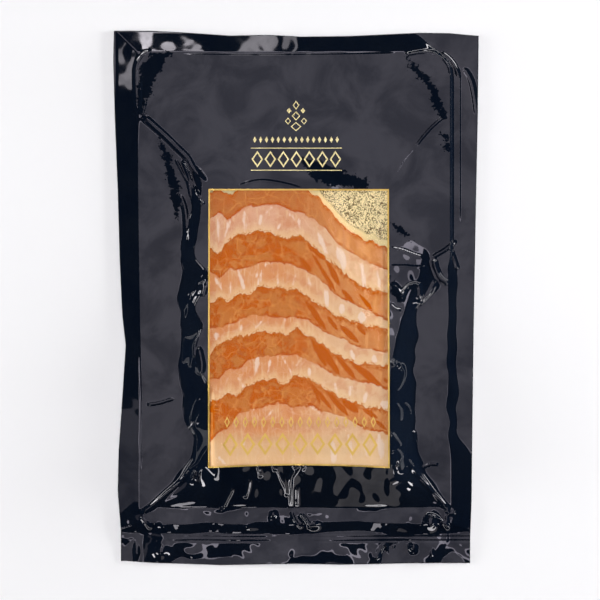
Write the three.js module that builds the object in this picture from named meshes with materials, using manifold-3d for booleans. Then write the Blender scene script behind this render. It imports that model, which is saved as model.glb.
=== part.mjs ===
// A vacuum pack of sliced hot smoked salmon, lying on its back with the window up.
// Millimetres, +Z up. X runs across the pack, Y runs up its front, and z = 0 is the table.
// The pouch is one skin: a back web and a black front web, welded together all round as a flange.
// Inside lie a gold card and five shingled slices, and a clear panel closes the front web's opening.
import * as THREE from 'three';
import { mergeVertices } from 'three/addons/utils/BufferGeometryUtils.js';
import Module from 'manifold-3d';

const wasm = await Module();
wasm.setup();
const { Manifold } = wasm;

// Thicknesses and levels
const FILM = 0.4;                  // one web of film
const CLEARANCE = 0.3;             // air between pieces that touch in the real pack
const CARD_THICKNESS = 0.8;
const PLATEAU = 12.2;              // outer height of the film over the stacked slices
const FLANGE = 2 * FILM;           // both webs welded together
const CARD_TOP = FILM + CLEARANCE + CARD_THICKNESS;
const CARD_LEVEL = CARD_TOP + CLEARANCE + FILM;
const STACK_FLOOR = CARD_TOP + CLEARANCE;

// Card, window and closing seal, as lowest and highest x and y
const CARD = { left: -76.2, right: 74.8, bottom: -102.6, top: 118.7, radius: 9 };
const WINDOW = { left: -42.2, right: 44.9, bottom: -82, top: 52.7 };
const SEAL = { low: -119.6, high: -114.7, depth: 0.2, edge: 1.5 };
const BEYOND = 60;                 // how far a cutting solid reaches past what it cuts
const BELOW = -5;                  // level at which a solid starts whose underside is cut off level

// Past the card's edge the film stays level, and then drops to the flange: at once on the right,
// in a long slope on the left and at the top, and after a level strip at the bottom
const SHOULDER_START = 1.4;
const SHARP_DROP = 2.6;
const BROAD_DROP = 10;
const BOTTOM_STRIP = 6;
const BROAD_TOP_END = { from: 50, over: 14 };
const SIDE_BLEND = 12;             // distance from a side of the card over which its shoulder takes over
const SHOULDER_END = SHOULDER_START + SHARP_DROP;

// Outline of the pouch, as places along each side and how far out the edge is there
const LEFT_SIDE = {
  at: [-130.3, -113, -94, -74, -42, -23, -8, 18, 53, 87, 116, 130.3],
  edge: [-85.4, -85.4, -86.9, -86.4, -84.2, -83, -84.7, -85.9, -86.9, -88.3, -89.1, -88.8],
};
const RIGHT_SIDE = {
  at: [-130.3, -118, -98.6, -55, -16, 38, 87, 130.3],
  edge: [84.9, 84.9, 85.6, 86.1, 86.6, 87.6, 88.6, 89.1],
};
const TOP_SIDE = {
  at: [-89.1, -71, -56.6, -32, -13, 2, 26, 60, 75, 89.1],
  edge: [130.3, 130.3, 129.6, 127.9, 128.3, 127.4, 127.7, 129.3, 129.1, 127.9],
};
const BOTTOM_SIDE = {
  at: [-86, -66, -37, 2, 21.5, 60, 85],
  edge: [-128.3, -129.3, -130.3, -129.6, -130.1, -129.3, -129.3],
};

// The film climbs the sides of the stack from a foot to a crest, each read at places up the pack
const LEFT_CLIMB = {
  at: [-102.5, -88.8, -76.6, -68.3, -59.5, -44.9, -35.1, -16.6, -1, 12.7, 17.6, 30.7, 40.5, 60],
  foot: [-74.2, -58.6, -50.8, -48.8, -53.2, -54.7, -57.1, -55.1, -56.6, -55.1, -56.1, -53.7, -51.2, -51],
  crest: [-34.2, -34.8, -36, -37.5, -38.6, -40.7, -43.4, -45.4, -45.4, -46.4, -48.3, -47.3, -46.4, -46.4],
};
const RIGHT_CLIMB = {
  at: [-102.5, -93.7, -84.9, -76.6, -64.4, -49.8, -35.1, -18.1, -4.4, 5.4, 8.3, 11.2, 23.4, 31, 44],
  foot: [74.7, 68.8, 62.5, 59.5, 57.1, 57.6, 56.6, 58.6, 59.5, 69.8, 70.8, 68.8, 68.8, 70, 70],
  crest: [47.8, 47.2, 46.6, 46.2, 45.9, 45.9, 46.8, 50, 54, 58, 59.5, 60.5, 62.5, 62.5, 62.5],
};
const APRON = { foot: -102, crest: -81 };

// From its foot at the top the film rises as a shallow tent to the first slice, and then as a
// wedge, because the slices lie shingled and the stack grows thicker down the pack
const TENT_FOOT = {
  at: [-60, -45, -28, -17, 3, 13, 25, 44, 60, 70],
  edge: [60, 66, 69, 71, 69, 62, 52, 40, 36, 34],
};
const TENT_SLOPE = 0.115;
const WEDGE = { top: 52, rise: 1.6, slope: 0.075 };

// Upper edges of the five slices, top slice first, each at the same places across the pack
const EDGE_PLACES = [-55, -47, -40.5, -34, -26, -17, -6, 3, 13, 22, 32, 44, 58];
const SLICE_EDGES = [
  [43.5, 49.2, 51.7, 52.5, 54, 57.2, 56.5, 53.9, 46.5, 36.3, 30, 24.5, 21],
  [14.5, 20.4, 24.4, 26.5, 31, 32.7, 28.3, 29, 20.7, 12.9, 5.4, 2.4, -1],
  [-9, -5, -2.4, -1.8, 1, 4.6, 4.4, 2.3, -4.6, -9.3, -12.4, -14.9, -17.5],
  [-39, -33.3, -26.8, -20.4, -18.5, -16.5, -17.5, -16.7, -23, -28.8, -32, -33.2, -35],
  [-58.8, -53.8, -50.3, -47.3, -44.8, -40.5, -41.8, -38.5, -43.8, -48.3, -52.6, -53.9, -56.5],
];
const STACK_END = -88;             // lower end of the last slice
const OVERLAP = 1.8;               // a slice's length, in steps from one slice's edge to the next
const EDGE_PRESS = 0.72;           // share of the stack's height that lies under a slice's upper edge
const EDGE_ROUNDING = 0.8;         // most that a slice's upper rim is lower than its back
const EDGE_SHARE = 0.15;           // and the share of a thin slice's height that its rim loses
const COVERED_FROM = 0.97;         // steps down at which a slice dips under the next one
const SLICE_INSET = 5.5;           // slices stop this far inside the foot of the climb
const SLICE_COLUMNS = 18;
const SLICE_ROWS = [0, 0.08, 0.4, 0.8, 0.96, 0.985, 1, 1.08, 1.4, OVERLAP];

// Tension folds in the front web: the line of each ridge, and how far its round back stands out
// of the film and to each side
const FOLDS = [
  { line: [[-77, 87], [-66, 79.3], [-55.6, 70.2], [-46, 57.5]], height: 0.8, width: 1.4 },
  { line: [[74, 88.8], [63, 78.6], [53.2, 67.3]], height: 0.35, width: 1 },
  { line: [[76, 27.3], [70.3, 22.4], [64.5, 18.5]], height: 0.9, width: 1.4 },
  { line: [[67.5, 8.6], [70, 8], [73.7, 5.9]], height: 0.7, width: 1.2 },
  { line: [[-74.5, -102.5], [-65, -95], [-57, -86.5]], height: 1, width: 1.5 },
  { line: [[73.5, -102], [67, -94.5], [61, -84.5]], height: 1, width: 1.5 },
  { line: [[-1.5, -102], [-2.2, -94], [-1.2, -84]], height: 0.6, width: 1.4 },
];
const FOLD_SIDES = 12;
const FOLD_STEPS = 10;

// Meshing: how far the film's lattice runs, and in how many cells, from one place to the next
const FLANGE_LINES = [0.5, 1];
const BOTTOM_LINES = [0.25, 0.4, 0.52, 0.62, 1];
const SHOULDER_CELLS = 2;
const CLIMB_X = { left: -58, leftEnd: -35, right: 72, rightEnd: 42 };
const CLIMB_Y = { bottom: -102.9, apronEnd: -80, tent: 20, top: 72 };
const ARC_SEGMENTS = 8;
const UNDERSIDE = 5;               // a box's sixth side is its underside
const CELL_INDICES = 6;            // two triangles
const FILM_MARGIN = 1.6;           // slices stay under the lowest film within this distance

// One dimensional shaping helpers
function clamp01(value) {
  return Math.min(1, Math.max(0, value));
}

function ease(value) {
  const t = clamp01(value);
  return t * t * (3 - 2 * t);
}

function lerp(from, to, share) {
  return from + (to - from) * share;
}

function readLine(places, values, place) {
  if (place <= places[0]) return values[0];
  for (let i = 1; i < places.length; i += 1) {
    if (place <= places[i]) {
      return lerp(values[i - 1], values[i], (place - places[i - 1]) / (places[i] - places[i - 1]));
    }
  }
  return values[values.length - 1];
}

// Signed distance outside the card's rounded outline, negative inside
function distancePastCard(x, y) {
  const halfWidth = (CARD.right - CARD.left) / 2;
  const halfHeight = (CARD.top - CARD.bottom) / 2;
  const dx = Math.abs(x - (CARD.left + CARD.right) / 2) - (halfWidth - CARD.radius);
  const dy = Math.abs(y - (CARD.bottom + CARD.top) / 2) - (halfHeight - CARD.radius);
  const outside = Math.hypot(Math.max(dx, 0), Math.max(dy, 0));
  return outside + Math.min(Math.max(dx, dy), 0) - CARD.radius;
}

// Upper edge of slice k, where k past the last slice gives the steps down to the stack's end
function sliceEdge(k, x) {
  const last = SLICE_EDGES.length - 1;
  if (k <= last) return readLine(EDGE_PLACES, SLICE_EDGES[k], x);
  return lerp(readLine(EDGE_PLACES, SLICE_EDGES[last], x), STACK_END, (k - last) / OVERLAP);
}

// Rise of the film over the stack of slices, above its level on the card
function stackRise(x, y) {
  const leftFoot = readLine(LEFT_CLIMB.at, LEFT_CLIMB.foot, y);
  const leftCrest = readLine(LEFT_CLIMB.at, LEFT_CLIMB.crest, y);
  const rightFoot = readLine(RIGHT_CLIMB.at, RIGHT_CLIMB.foot, y);
  const rightCrest = readLine(RIGHT_CLIMB.at, RIGHT_CLIMB.crest, y);
  const sides = ease((x - leftFoot) / (leftCrest - leftFoot)) * ease((rightFoot - x) / (rightFoot - rightCrest));
  const tent = TENT_SLOPE * Math.max(readLine(TENT_FOOT.at, TENT_FOOT.edge, x) - y, 0);
  const wedge = WEDGE.rise + WEDGE.slope * (WEDGE.top - y);
  const apron = ease((y - APRON.foot) / (APRON.crest - APRON.foot));
  return sides * apron * Math.max(Math.min(tent, wedge, PLATEAU - CARD_LEVEL), 0);
}

// Share of the card's level that the film still has past the card's edge
function shoulder(x, y) {
  const byLeft = ease((CARD.left + SIDE_BLEND - x) / SIDE_BLEND);
  const byTop = ease((y - CARD.top + SIDE_BLEND) / SIDE_BLEND)
    * ease((BROAD_TOP_END.from + BROAD_TOP_END.over - x) / BROAD_TOP_END.over);
  const byBottom = ease((CARD.bottom + SIDE_BLEND - y) / SIDE_BLEND);
  const broad = Math.max(byLeft, byTop) * (1 - byBottom);
  const start = SHOULDER_START + BOTTOM_STRIP * byBottom;
  const drop = lerp(SHARP_DROP, BROAD_DROP, broad);
  return 1 - ease((distancePastCard(x, y) - start) / drop);
}

// Height of the front web's outer face
function filmHeight(x, y) {
  const height = FLANGE + (CARD_LEVEL - FLANGE) * shoulder(x, y) + stackRise(x, y);
  const inSeal = ease((y - SEAL.low) / SEAL.edge) * ease((SEAL.high - y) / SEAL.edge);
  return height - SEAL.depth * inSeal;
}

// Lowest film near a point, so that what lies under the film never meets its facets
function lowestFilmNear(x, y) {
  let lowest = Infinity;
  for (const dx of [-FILM_MARGIN, 0, FILM_MARGIN]) {
    for (const dy of [-FILM_MARGIN, 0, FILM_MARGIN]) {
      lowest = Math.min(lowest, filmHeight(x + dx, y + dy));
    }
  }
  return lowest;
}

// A closed mesh as a solid that can be joined and cut
function solidOf(geometry) {
  geometry.deleteAttribute('normal');
  geometry.deleteAttribute('uv');
  const merged = mergeVertices(geometry);
  return new Manifold(new wasm.Mesh({
    numProp: 3,
    vertProperties: Float32Array.from(merged.getAttribute('position').array),
    triVerts: Uint32Array.from(merged.getIndex().array),
  }));
}

// Divide each cell of a box's underside along the same diagonal as the cell above it, so that two
// solids with the same lattice fit into each other
function matchDiagonals(geometry) {
  const index = geometry.getIndex();
  const underside = geometry.groups[UNDERSIDE];
  for (let n = underside.start; n < underside.start + underside.count; n += CELL_INDICES) {
    const [a, b, d, , c] = index.array.slice(n, n + CELL_INDICES);
    index.array.set([a, b, c, a, c, d], n);
  }
}

// A closed solid between two heights over a lattice of columns and rows: a box in as many
// segments, with every vertex moved. place(i, j) gives a lattice point's x and y, and topAt and
// bottomAt its two heights.
function latticeSolid(columns, rows, place, topAt, bottomAt) {
  const geometry = new THREE.BoxGeometry(1, 1, 1, columns - 1, rows - 1, 1);
  matchDiagonals(geometry);
  const position = geometry.getAttribute('position');
  for (let n = 0; n < position.count; n += 1) {
    const i = Math.round((position.getX(n) + 0.5) * (columns - 1));
    const j = Math.round((position.getY(n) + 0.5) * (rows - 1));
    const heightAt = position.getZ(n) > 0 ? topAt : bottomAt;
    const [x, y] = place(i, j);
    position.setXYZ(n, x, y, heightAt(x, y, i, j));
  }
  return solidOf(geometry);
}

// Stations from a start through the ends of spans, each span in its own number of cells
function stations(start, spans) {
  const found = [start];
  for (const [end, cells] of spans) {
    const from = found[found.length - 1];
    for (let n = 1; n <= cells; n += 1) found.push(from + (end - from) * n / cells);
  }
  return found;
}

// A rounded outline standing on z = low, up to z = high
function roundedPrism(outline, grow, low, high) {
  const radius = outline.radius + grow;
  const shape = new THREE.Shape();
  shape.absarc(outline.left - grow + radius, outline.bottom - grow + radius, radius, -Math.PI, -Math.PI / 2);
  shape.absarc(outline.right + grow - radius, outline.bottom - grow + radius, radius, -Math.PI / 2, 0);
  shape.absarc(outline.right + grow - radius, outline.top + grow - radius, radius, 0, Math.PI / 2);
  shape.absarc(outline.left - grow + radius, outline.top + grow - radius, radius, Math.PI / 2, Math.PI);
  const settings = { depth: high - low, bevelEnabled: false, curveSegments: ARC_SEGMENTS };
  return solidOf(new THREE.ExtrudeGeometry(shape, settings).translate(0, 0, low));
}

function box(area, low, high) {
  const geometry = new THREE.BoxGeometry(area.right - area.left, area.top - area.bottom, high - low);
  geometry.translate((area.left + area.right) / 2, (area.bottom + area.top) / 2, (low + high) / 2);
  return solidOf(geometry);
}

function grown(area, by) {
  return { left: area.left - by, right: area.right + by, bottom: area.bottom - by, top: area.top + by };
}

// The film's lattice: straight lines over the card, fine where the film climbs, and flange lines
// that follow the outline
const SHOULDER_AREA = grown(CARD, SHOULDER_END);
const CLIMB_COLUMNS = stations(CLIMB_X.left, [
  [WINDOW.left, 6], [CLIMB_X.leftEnd, 3], [CLIMB_X.rightEnd, 8], [WINDOW.right, 1], [CLIMB_X.right, 10],
]);
const CLIMB_ROWS = stations(CLIMB_Y.bottom, [
  [WINDOW.bottom, 8], [CLIMB_Y.apronEnd, 1], [CLIMB_Y.tent, 19], [WINDOW.top, 8], [CLIMB_Y.top, 5],
]);
const INNER_X = [
  ...stations(SHOULDER_AREA.left, [[CARD.left - CLEARANCE, SHOULDER_CELLS], [CLIMB_X.left, 3]]).slice(0, -1),
  ...CLIMB_COLUMNS,
  ...stations(CLIMB_X.right, [[CARD.right + CLEARANCE, 1], [SHOULDER_AREA.right, SHOULDER_CELLS]]).slice(1),
];
const INNER_Y = [
  ...stations(SHOULDER_AREA.bottom, [[CLIMB_Y.bottom, SHOULDER_CELLS]]).slice(0, -1),
  ...CLIMB_ROWS,
  ...stations(CLIMB_Y.top, [[CARD.top - CARD.radius, 4], [CARD.top, 3], [SHOULDER_AREA.top, SHOULDER_CELLS]]).slice(1),
];

function pouchPlace(i, j) {
  const left = FLANGE_LINES.length;
  const below = BOTTOM_LINES.length;
  const nearX = INNER_X[Math.min(Math.max(i - left, 0), INNER_X.length - 1)];
  const nearY = INNER_Y[Math.min(Math.max(j - below, 0), INNER_Y.length - 1)];
  let outX = 0;
  let outY = 0;
  if (i < left) outX = -FLANGE_LINES[left - 1 - i];
  if (i >= left + INNER_X.length) outX = FLANGE_LINES[i - left - INNER_X.length];
  if (j < below) outY = -BOTTOM_LINES[below - 1 - j];
  if (j >= below + INNER_Y.length) outY = FLANGE_LINES[j - below - INNER_Y.length];
  const bottomEdge = readLine(BOTTOM_SIDE.at, BOTTOM_SIDE.edge, nearX);
  const topEdge = readLine(TOP_SIDE.at, TOP_SIDE.edge, nearX);
  const y = lerp(nearY, outY < 0 ? bottomEdge : topEdge, Math.abs(outY));
  const leftEdge = readLine(LEFT_SIDE.at, LEFT_SIDE.edge, y);
  const rightEdge = readLine(RIGHT_SIDE.at, RIGHT_SIDE.edge, y);
  const x = lerp(nearX, outX < 0 ? leftEdge : rightEdge, Math.abs(outX));
  return [x, y];
}

// One ridge of pulled film: a round bar drawn along its line, sunk so far that only its back
// stands out
function foldSolid(fold) {
  const radius = (fold.height ** 2 + fold.width ** 2) / (2 * fold.height);
  const sink = radius - fold.height;
  const path = new THREE.CatmullRomCurve3(
    fold.line.map(([x, y]) => new THREE.Vector3(x, y, filmHeight(x, y) - sink)),
  );
  const circle = new THREE.Shape().absarc(0, 0, radius, 0, 2 * Math.PI);
  const section = new THREE.Shape(circle.getPoints(FOLD_SIDES).slice(1));
  return solidOf(new THREE.ExtrudeGeometry(section, {
    extrudePath: path, steps: FOLD_STEPS, bevelEnabled: false,
  }));
}

function pouchSolid() {
  const columns = INNER_X.length + 2 * FLANGE_LINES.length;
  const rows = INNER_Y.length + BOTTOM_LINES.length + FLANGE_LINES.length;
  let skin = latticeSolid(columns, rows, pouchPlace, filmHeight, () => BELOW);
  for (const fold of FOLDS) skin = skin.add(foldSolid(fold));
  const aboveTable = box(grown(CARD, BEYOND), 0, BEYOND);
  const cardHollow = roundedPrism(CARD, CLEARANCE, FILM, CARD_LEVEL - FILM);
  const stackHollow = latticeSolid(
    CLIMB_COLUMNS.length,
    CLIMB_ROWS.length,
    (i, j) => [CLIMB_COLUMNS[i], CLIMB_ROWS[j]],
    (x, y) => Math.max(filmHeight(x, y) - FILM, CARD_LEVEL - FILM),
    () => FILM,
  );
  const opening = box(WINDOW, CARD_TOP, BEYOND);
  return skin.intersect(aboveTable).subtract(cardHollow.add(stackHollow)).subtract(opening);
}

function windowSolid() {
  const area = grown(WINDOW, -CLEARANCE);
  const between = (low, high) => (place) => place > low + CLEARANCE && place < high - CLEARANCE;
  const xs = [area.left, ...CLIMB_COLUMNS.filter(between(area.left, area.right)), area.right];
  const ys = [area.bottom, ...CLIMB_ROWS.filter(between(area.bottom, area.top)), area.top];
  return latticeSolid(
    xs.length,
    ys.length,
    (i, j) => [xs[i], ys[j]],
    filmHeight,
    (x, y) => filmHeight(x, y) - FILM,
  );
}

// Share of the stack's height below a slice, at so many steps down from its upper edge
function shareBelow(steps) {
  return EDGE_PRESS * clamp01(1 - steps / OVERLAP);
}

function sliceSolid(k) {
  const stepsAt = (j) => SLICE_ROWS[SLICE_ROWS.length - 1 - j];
  const place = (i, j) => {
    const share = i / SLICE_COLUMNS;
    const across = lerp(EDGE_PLACES[0], EDGE_PLACES[EDGE_PLACES.length - 1], share);
    const steps = stepsAt(j);
    const whole = Math.min(Math.floor(steps), 1);
    const y = lerp(sliceEdge(k + whole, across), sliceEdge(k + whole + 1, across), steps - whole);
    const left = readLine(LEFT_CLIMB.at, LEFT_CLIMB.foot, y) + SLICE_INSET;
    const right = readLine(RIGHT_CLIMB.at, RIGHT_CLIMB.foot, y) - SLICE_INSET;
    return [lerp(left, right, share), y];
  };
  const stackHeight = (x, y) => lowestFilmNear(x, y) - FILM - CLEARANCE - STACK_FLOOR;
  const covered = k < SLICE_EDGES.length - 1;
  const topAt = (x, y, i, j) => {
    const steps = stepsAt(j);
    const height = stackHeight(x, y);
    const rim = steps === 0 ? Math.min(EDGE_ROUNDING, EDGE_SHARE * height) : 0;
    if (covered && steps > COVERED_FROM) {
      return STACK_FLOOR + height * shareBelow(Math.max(steps - 1, 0)) - CLEARANCE;
    }
    return STACK_FLOOR + height - rim;
  };
  const bottomAt = (x, y, i, j) => {
    const share = k === 0 ? 0 : shareBelow(stepsAt(j));
    return STACK_FLOOR + stackHeight(x, y) * share;
  };
  return latticeSolid(SLICE_COLUMNS + 1, SLICE_ROWS.length, place, topAt, bottomAt);
}

function meshOf(name, solid, material) {
  const { vertProperties, triVerts } = solid.getMesh();
  const geometry = new THREE.BufferGeometry();
  geometry.setAttribute('position', new THREE.BufferAttribute(new Float32Array(vertProperties), 3));
  geometry.setIndex(new THREE.BufferAttribute(new Uint32Array(triVerts), 1));
  geometry.computeVertexNormals();
  const mesh = new THREE.Mesh(geometry, material);
  mesh.name = name;
  return mesh;
}

const blackFilm = new THREE.MeshStandardMaterial({ color: '#10131a', roughness: 0.12, metalness: 0 });
const clearFilm = new THREE.MeshStandardMaterial({
  color: '#ffffff', roughness: 0.05, metalness: 0, transparent: true, opacity: 0.2,
});
const goldCard = new THREE.MeshStandardMaterial({ color: '#d8be78', roughness: 0.35, metalness: 0.8 });
const smokedFish = new THREE.MeshStandardMaterial({ color: '#dd9a62', roughness: 0.35, metalness: 0 });

const pack = new THREE.Group();
pack.add(meshOf('pouch', pouchSolid(), blackFilm));
pack.add(meshOf('window', windowSolid(), clearFilm));
const cardSolid = roundedPrism(CARD, 0, FILM + CLEARANCE, CARD_TOP);
pack.add(meshOf('card', cardSolid, goldCard));
SLICE_EDGES.forEach((edge, k) => {
  pack.add(meshOf(`slice_${k + 1}`, sliceSolid(k), smokedFish));
});

export default pack;
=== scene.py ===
# %% [markdown]
# # A vacuum pack of sliced hot smoked salmon
# The real object is a flat pouch of glossy black film, welded shut all round. A gold card inside
# keeps it flat, five shingled slices of salmon lie on the card, and a clear window shows them.
# Air has been drawn out, so the film follows everything under it and pulls into folds.
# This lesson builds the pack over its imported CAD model, in metres, in the same place.
# %% The frame that the pieces are fitted to
import math

import bmesh
import bpy
import numpy as np
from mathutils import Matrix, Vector


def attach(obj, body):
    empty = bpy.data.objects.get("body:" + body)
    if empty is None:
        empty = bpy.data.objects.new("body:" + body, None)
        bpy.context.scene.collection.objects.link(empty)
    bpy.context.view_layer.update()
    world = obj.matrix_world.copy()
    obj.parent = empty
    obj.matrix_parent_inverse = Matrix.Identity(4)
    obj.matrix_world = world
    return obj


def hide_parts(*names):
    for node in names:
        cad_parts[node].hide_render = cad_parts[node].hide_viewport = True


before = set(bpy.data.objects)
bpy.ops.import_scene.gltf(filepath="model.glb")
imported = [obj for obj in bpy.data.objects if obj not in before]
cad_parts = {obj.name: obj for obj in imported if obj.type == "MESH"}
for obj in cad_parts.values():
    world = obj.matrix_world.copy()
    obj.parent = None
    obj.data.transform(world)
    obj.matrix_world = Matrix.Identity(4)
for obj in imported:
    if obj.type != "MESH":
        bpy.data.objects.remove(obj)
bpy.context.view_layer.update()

MM = 0.001
scene = bpy.context.scene
print("nodes in the frame:", sorted(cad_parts))

# %% [markdown]
# ## The camera
# The pack was photographed from straight above, so the camera looks down along Z, a long way off
# with a long lens, which keeps the outline free of perspective. The picture's middle lies a
# little to the right of the pack's middle and a little below it.
# %% Camera
VIEW_WIDTH = 0.2928
CAMERA_HEIGHT = 1.25
SENSOR_WIDTH = 36.0
VIEW_CENTRE = (0.00195, -0.00098)

camera_data = bpy.data.cameras.new("studio_camera")
camera_data.sensor_width = SENSOR_WIDTH
camera_data.lens = SENSOR_WIDTH * CAMERA_HEIGHT / VIEW_WIDTH
camera = bpy.data.objects.new("studio_camera", camera_data)
camera.location = (VIEW_CENTRE[0], VIEW_CENTRE[1], CAMERA_HEIGHT)
scene.collection.objects.link(camera)
scene.camera = camera
print("lens in mm:", round(camera_data.lens, 1))

# %% [markdown]
# ## The shape of the film
# One rule gives the height of the film over every point of the pack: its level on the card, its
# drop past the card's edge, the climb over the slices, and the folds where it is pulled tight.
# Every piece that lies on the film or under it asks the same rule, so nothing floats and nothing
# pokes through. The numbers are in millimetres, and the functions take whole arrays of points.
# %% Smooth steps and curves
def ease(value):
    share = np.clip(value, 0.0, 1.0)
    return share * share * (3 - 2 * share)


def soft_ramp(value, corner=0.12):
    """A straight ramp from 0 to 1 with both of its corners a little rounded."""
    def rounded(at):
        return np.where(at > corner, at, np.maximum(at + corner, 0) ** 2 / (4 * corner))
    return np.clip(rounded(value) - rounded(value - 1), 0, 1)


def smooth_curve(places, values, at):
    """A smooth line through values that are given at places."""
    places = np.asarray(places, dtype=float)
    values = np.asarray(values, dtype=float)
    slopes = np.gradient(values, places)
    at = np.clip(at, places[0], places[-1])
    left = np.clip(np.searchsorted(places, at) - 1, 0, len(places) - 2)
    span = places[left + 1] - places[left]
    t = (at - places[left]) / span
    from_left = (1 + 2 * t) * (1 - t) ** 2 * values[left] + t * (1 - t) ** 2 * span * slopes[left]
    from_right = t * t * (3 - 2 * t) * values[left + 1] + t * t * (t - 1) * span * slopes[left + 1]
    return from_left + from_right


# %% Uneven waves
ONE_WAY = 0.1


def ripples(x, y, size, seed, waves=14):
    """Smooth uneven waves of about one size, between -1 and 1 most of the time.

    Where one coordinate comes shrunk by ONE_WAY, the waves vary mostly along the other.
    """
    chance = np.random.default_rng(seed)
    total = np.zeros_like(np.asarray(x, dtype=float))
    for _ in range(waves):
        turn = chance.uniform(0, 2 * math.pi)
        length = size * chance.uniform(0.7, 1.6)
        phase = chance.uniform(0, 2 * math.pi)
        total += np.sin(2 * math.pi * (x * math.cos(turn) + y * math.sin(turn)) / length + phase)
    return total / math.sqrt(waves)


# %% Lines across the pack
def distance_to_line(x, y, points):
    """Distance to a line of straight stretches, and how far along it the nearest point is."""
    nearest = np.full_like(np.asarray(x, dtype=float), np.inf)
    share = np.zeros_like(nearest)
    count = len(points) - 1
    for index in range(count):
        (ax, ay), (bx, by) = points[index], points[index + 1]
        length = (bx - ax) ** 2 + (by - ay) ** 2
        along = np.clip(((x - ax) * (bx - ax) + (y - ay) * (by - ay)) / length, 0, 1)
        gap = np.hypot(x - ax - along * (bx - ax), y - ay - along * (by - ay))
        closer = gap < nearest
        nearest = np.where(closer, gap, nearest)
        share = np.where(closer, (index + along) / count, share)
    return nearest, share


def rounded_path(points, parts=4):
    """A smooth path through points, as short straight stretches."""
    at = np.linspace(0, len(points) - 1, (len(points) - 1) * parts + 1)
    places = np.arange(len(points))
    columns = [smooth_curve(places, [point[axis] for point in points], at) for axis in (0, 1)]
    return np.stack(columns, axis=1)


# %% Named sizes of the pack
FILM = 0.4
CLEARANCE = 0.3
CARD_THICKNESS = 0.8
PLATEAU = 12.2
FLANGE = 2 * FILM
CARD_TOP = FILM + CLEARANCE + CARD_THICKNESS
CARD_LEVEL = CARD_TOP + CLEARANCE + FILM
STACK_FLOOR = CARD_TOP + CLEARANCE

CARD_LEFT, CARD_RIGHT = -76.2, 74.8
CARD_BOTTOM, CARD_TOP_EDGE = -102.6, 118.7
CARD_RADIUS = 9.0
WINDOW_LEFT, WINDOW_RIGHT = -42.2, 44.9
WINDOW_BOTTOM, WINDOW_TOP = -82.0, 52.7
print("level of the film on the card, mm:", CARD_LEVEL)

# %% [markdown]
# ## The outline
# A pouch of film has four nearly straight sides that draw in where the film is pulled. Each side
# is a line of a few places with how far out the edge is there.
# %% Outline of the pouch and of the card
LEFT_SIDE = (
    [-130.3, -113, -94, -74, -42, -23, -8, 18, 53, 87, 116, 130.3],
    [-85.4, -85.4, -86.9, -86.4, -84.2, -83, -84.7, -85.9, -86.9, -88.3, -89.1, -88.8],
)
RIGHT_SIDE = (
    [-130.3, -118, -98.6, -55, -16, 38, 87, 130.3],
    [84.9, 84.9, 85.6, 86.1, 86.6, 87.6, 88.6, 89.1],
)
TOP_SIDE = (
    [-89.1, -71, -56.6, -32, -13, 2, 26, 60, 75, 89.1],
    [130.3, 130.3, 129.6, 127.9, 128.3, 127.4, 127.7, 129.3, 129.1, 127.9],
)
BOTTOM_SIDE = (
    [-86, -66, -37, 2, 21.5, 60, 85],
    [-128.3, -129.3, -130.3, -129.6, -130.1, -129.3, -129.3],
)
print("height of the pouch, mm:", round(max(TOP_SIDE[1]) - min(BOTTOM_SIDE[1]), 1))


def distance_past_card(x, y):
    """Distance outside the card's rounded outline, negative over the card."""
    half_width = (CARD_RIGHT - CARD_LEFT) / 2
    half_height = (CARD_TOP_EDGE - CARD_BOTTOM) / 2
    dx = np.abs(x - (CARD_LEFT + CARD_RIGHT) / 2) - (half_width - CARD_RADIUS)
    dy = np.abs(y - (CARD_BOTTOM + CARD_TOP_EDGE) / 2) - (half_height - CARD_RADIUS)
    outside = np.hypot(np.maximum(dx, 0), np.maximum(dy, 0))
    return outside + np.minimum(np.maximum(dx, dy), 0) - CARD_RADIUS


# %% [markdown]
# ## The shoulder
# Past the card the film drops to the welded flange. On most of the right side it drops at once
# and the flange lies level, so it mirrors the grey panel overhead. On the left, at the top and
# low on the right it falls in one long even slope, which mirrors nothing bright and turns black.
# At the bottom a level strip comes first, and runs straight from side to side.
# %% From the card's level to the flange
SHOULDER_START = -0.6
SHARP_DROP, LEFT_DROP = 4.0, 2.8
STEEP_DROP, STEEP_START = 1.0, 0.4
STEEP_ABOVE, STEEP_OVER = 14.0, 6.0
BROAD_DROP = 11.5
SIDE_BLEND = 12.0
BROAD_RIGHT_BELOW, BROAD_RIGHT_OVER = -64.0, 16.0
BROAD_TOP_FROM, BROAD_TOP_OVER = 55.0, 16.0
BOTTOM_STRIP, BOTTOM_DROP = 7.2, 4.5
SIDE_WAVE, STRIP_WAVE = 0.5, 0.6
print("drop from the card to the flange, mm:", round(CARD_LEVEL - FLANGE, 2))


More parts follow.
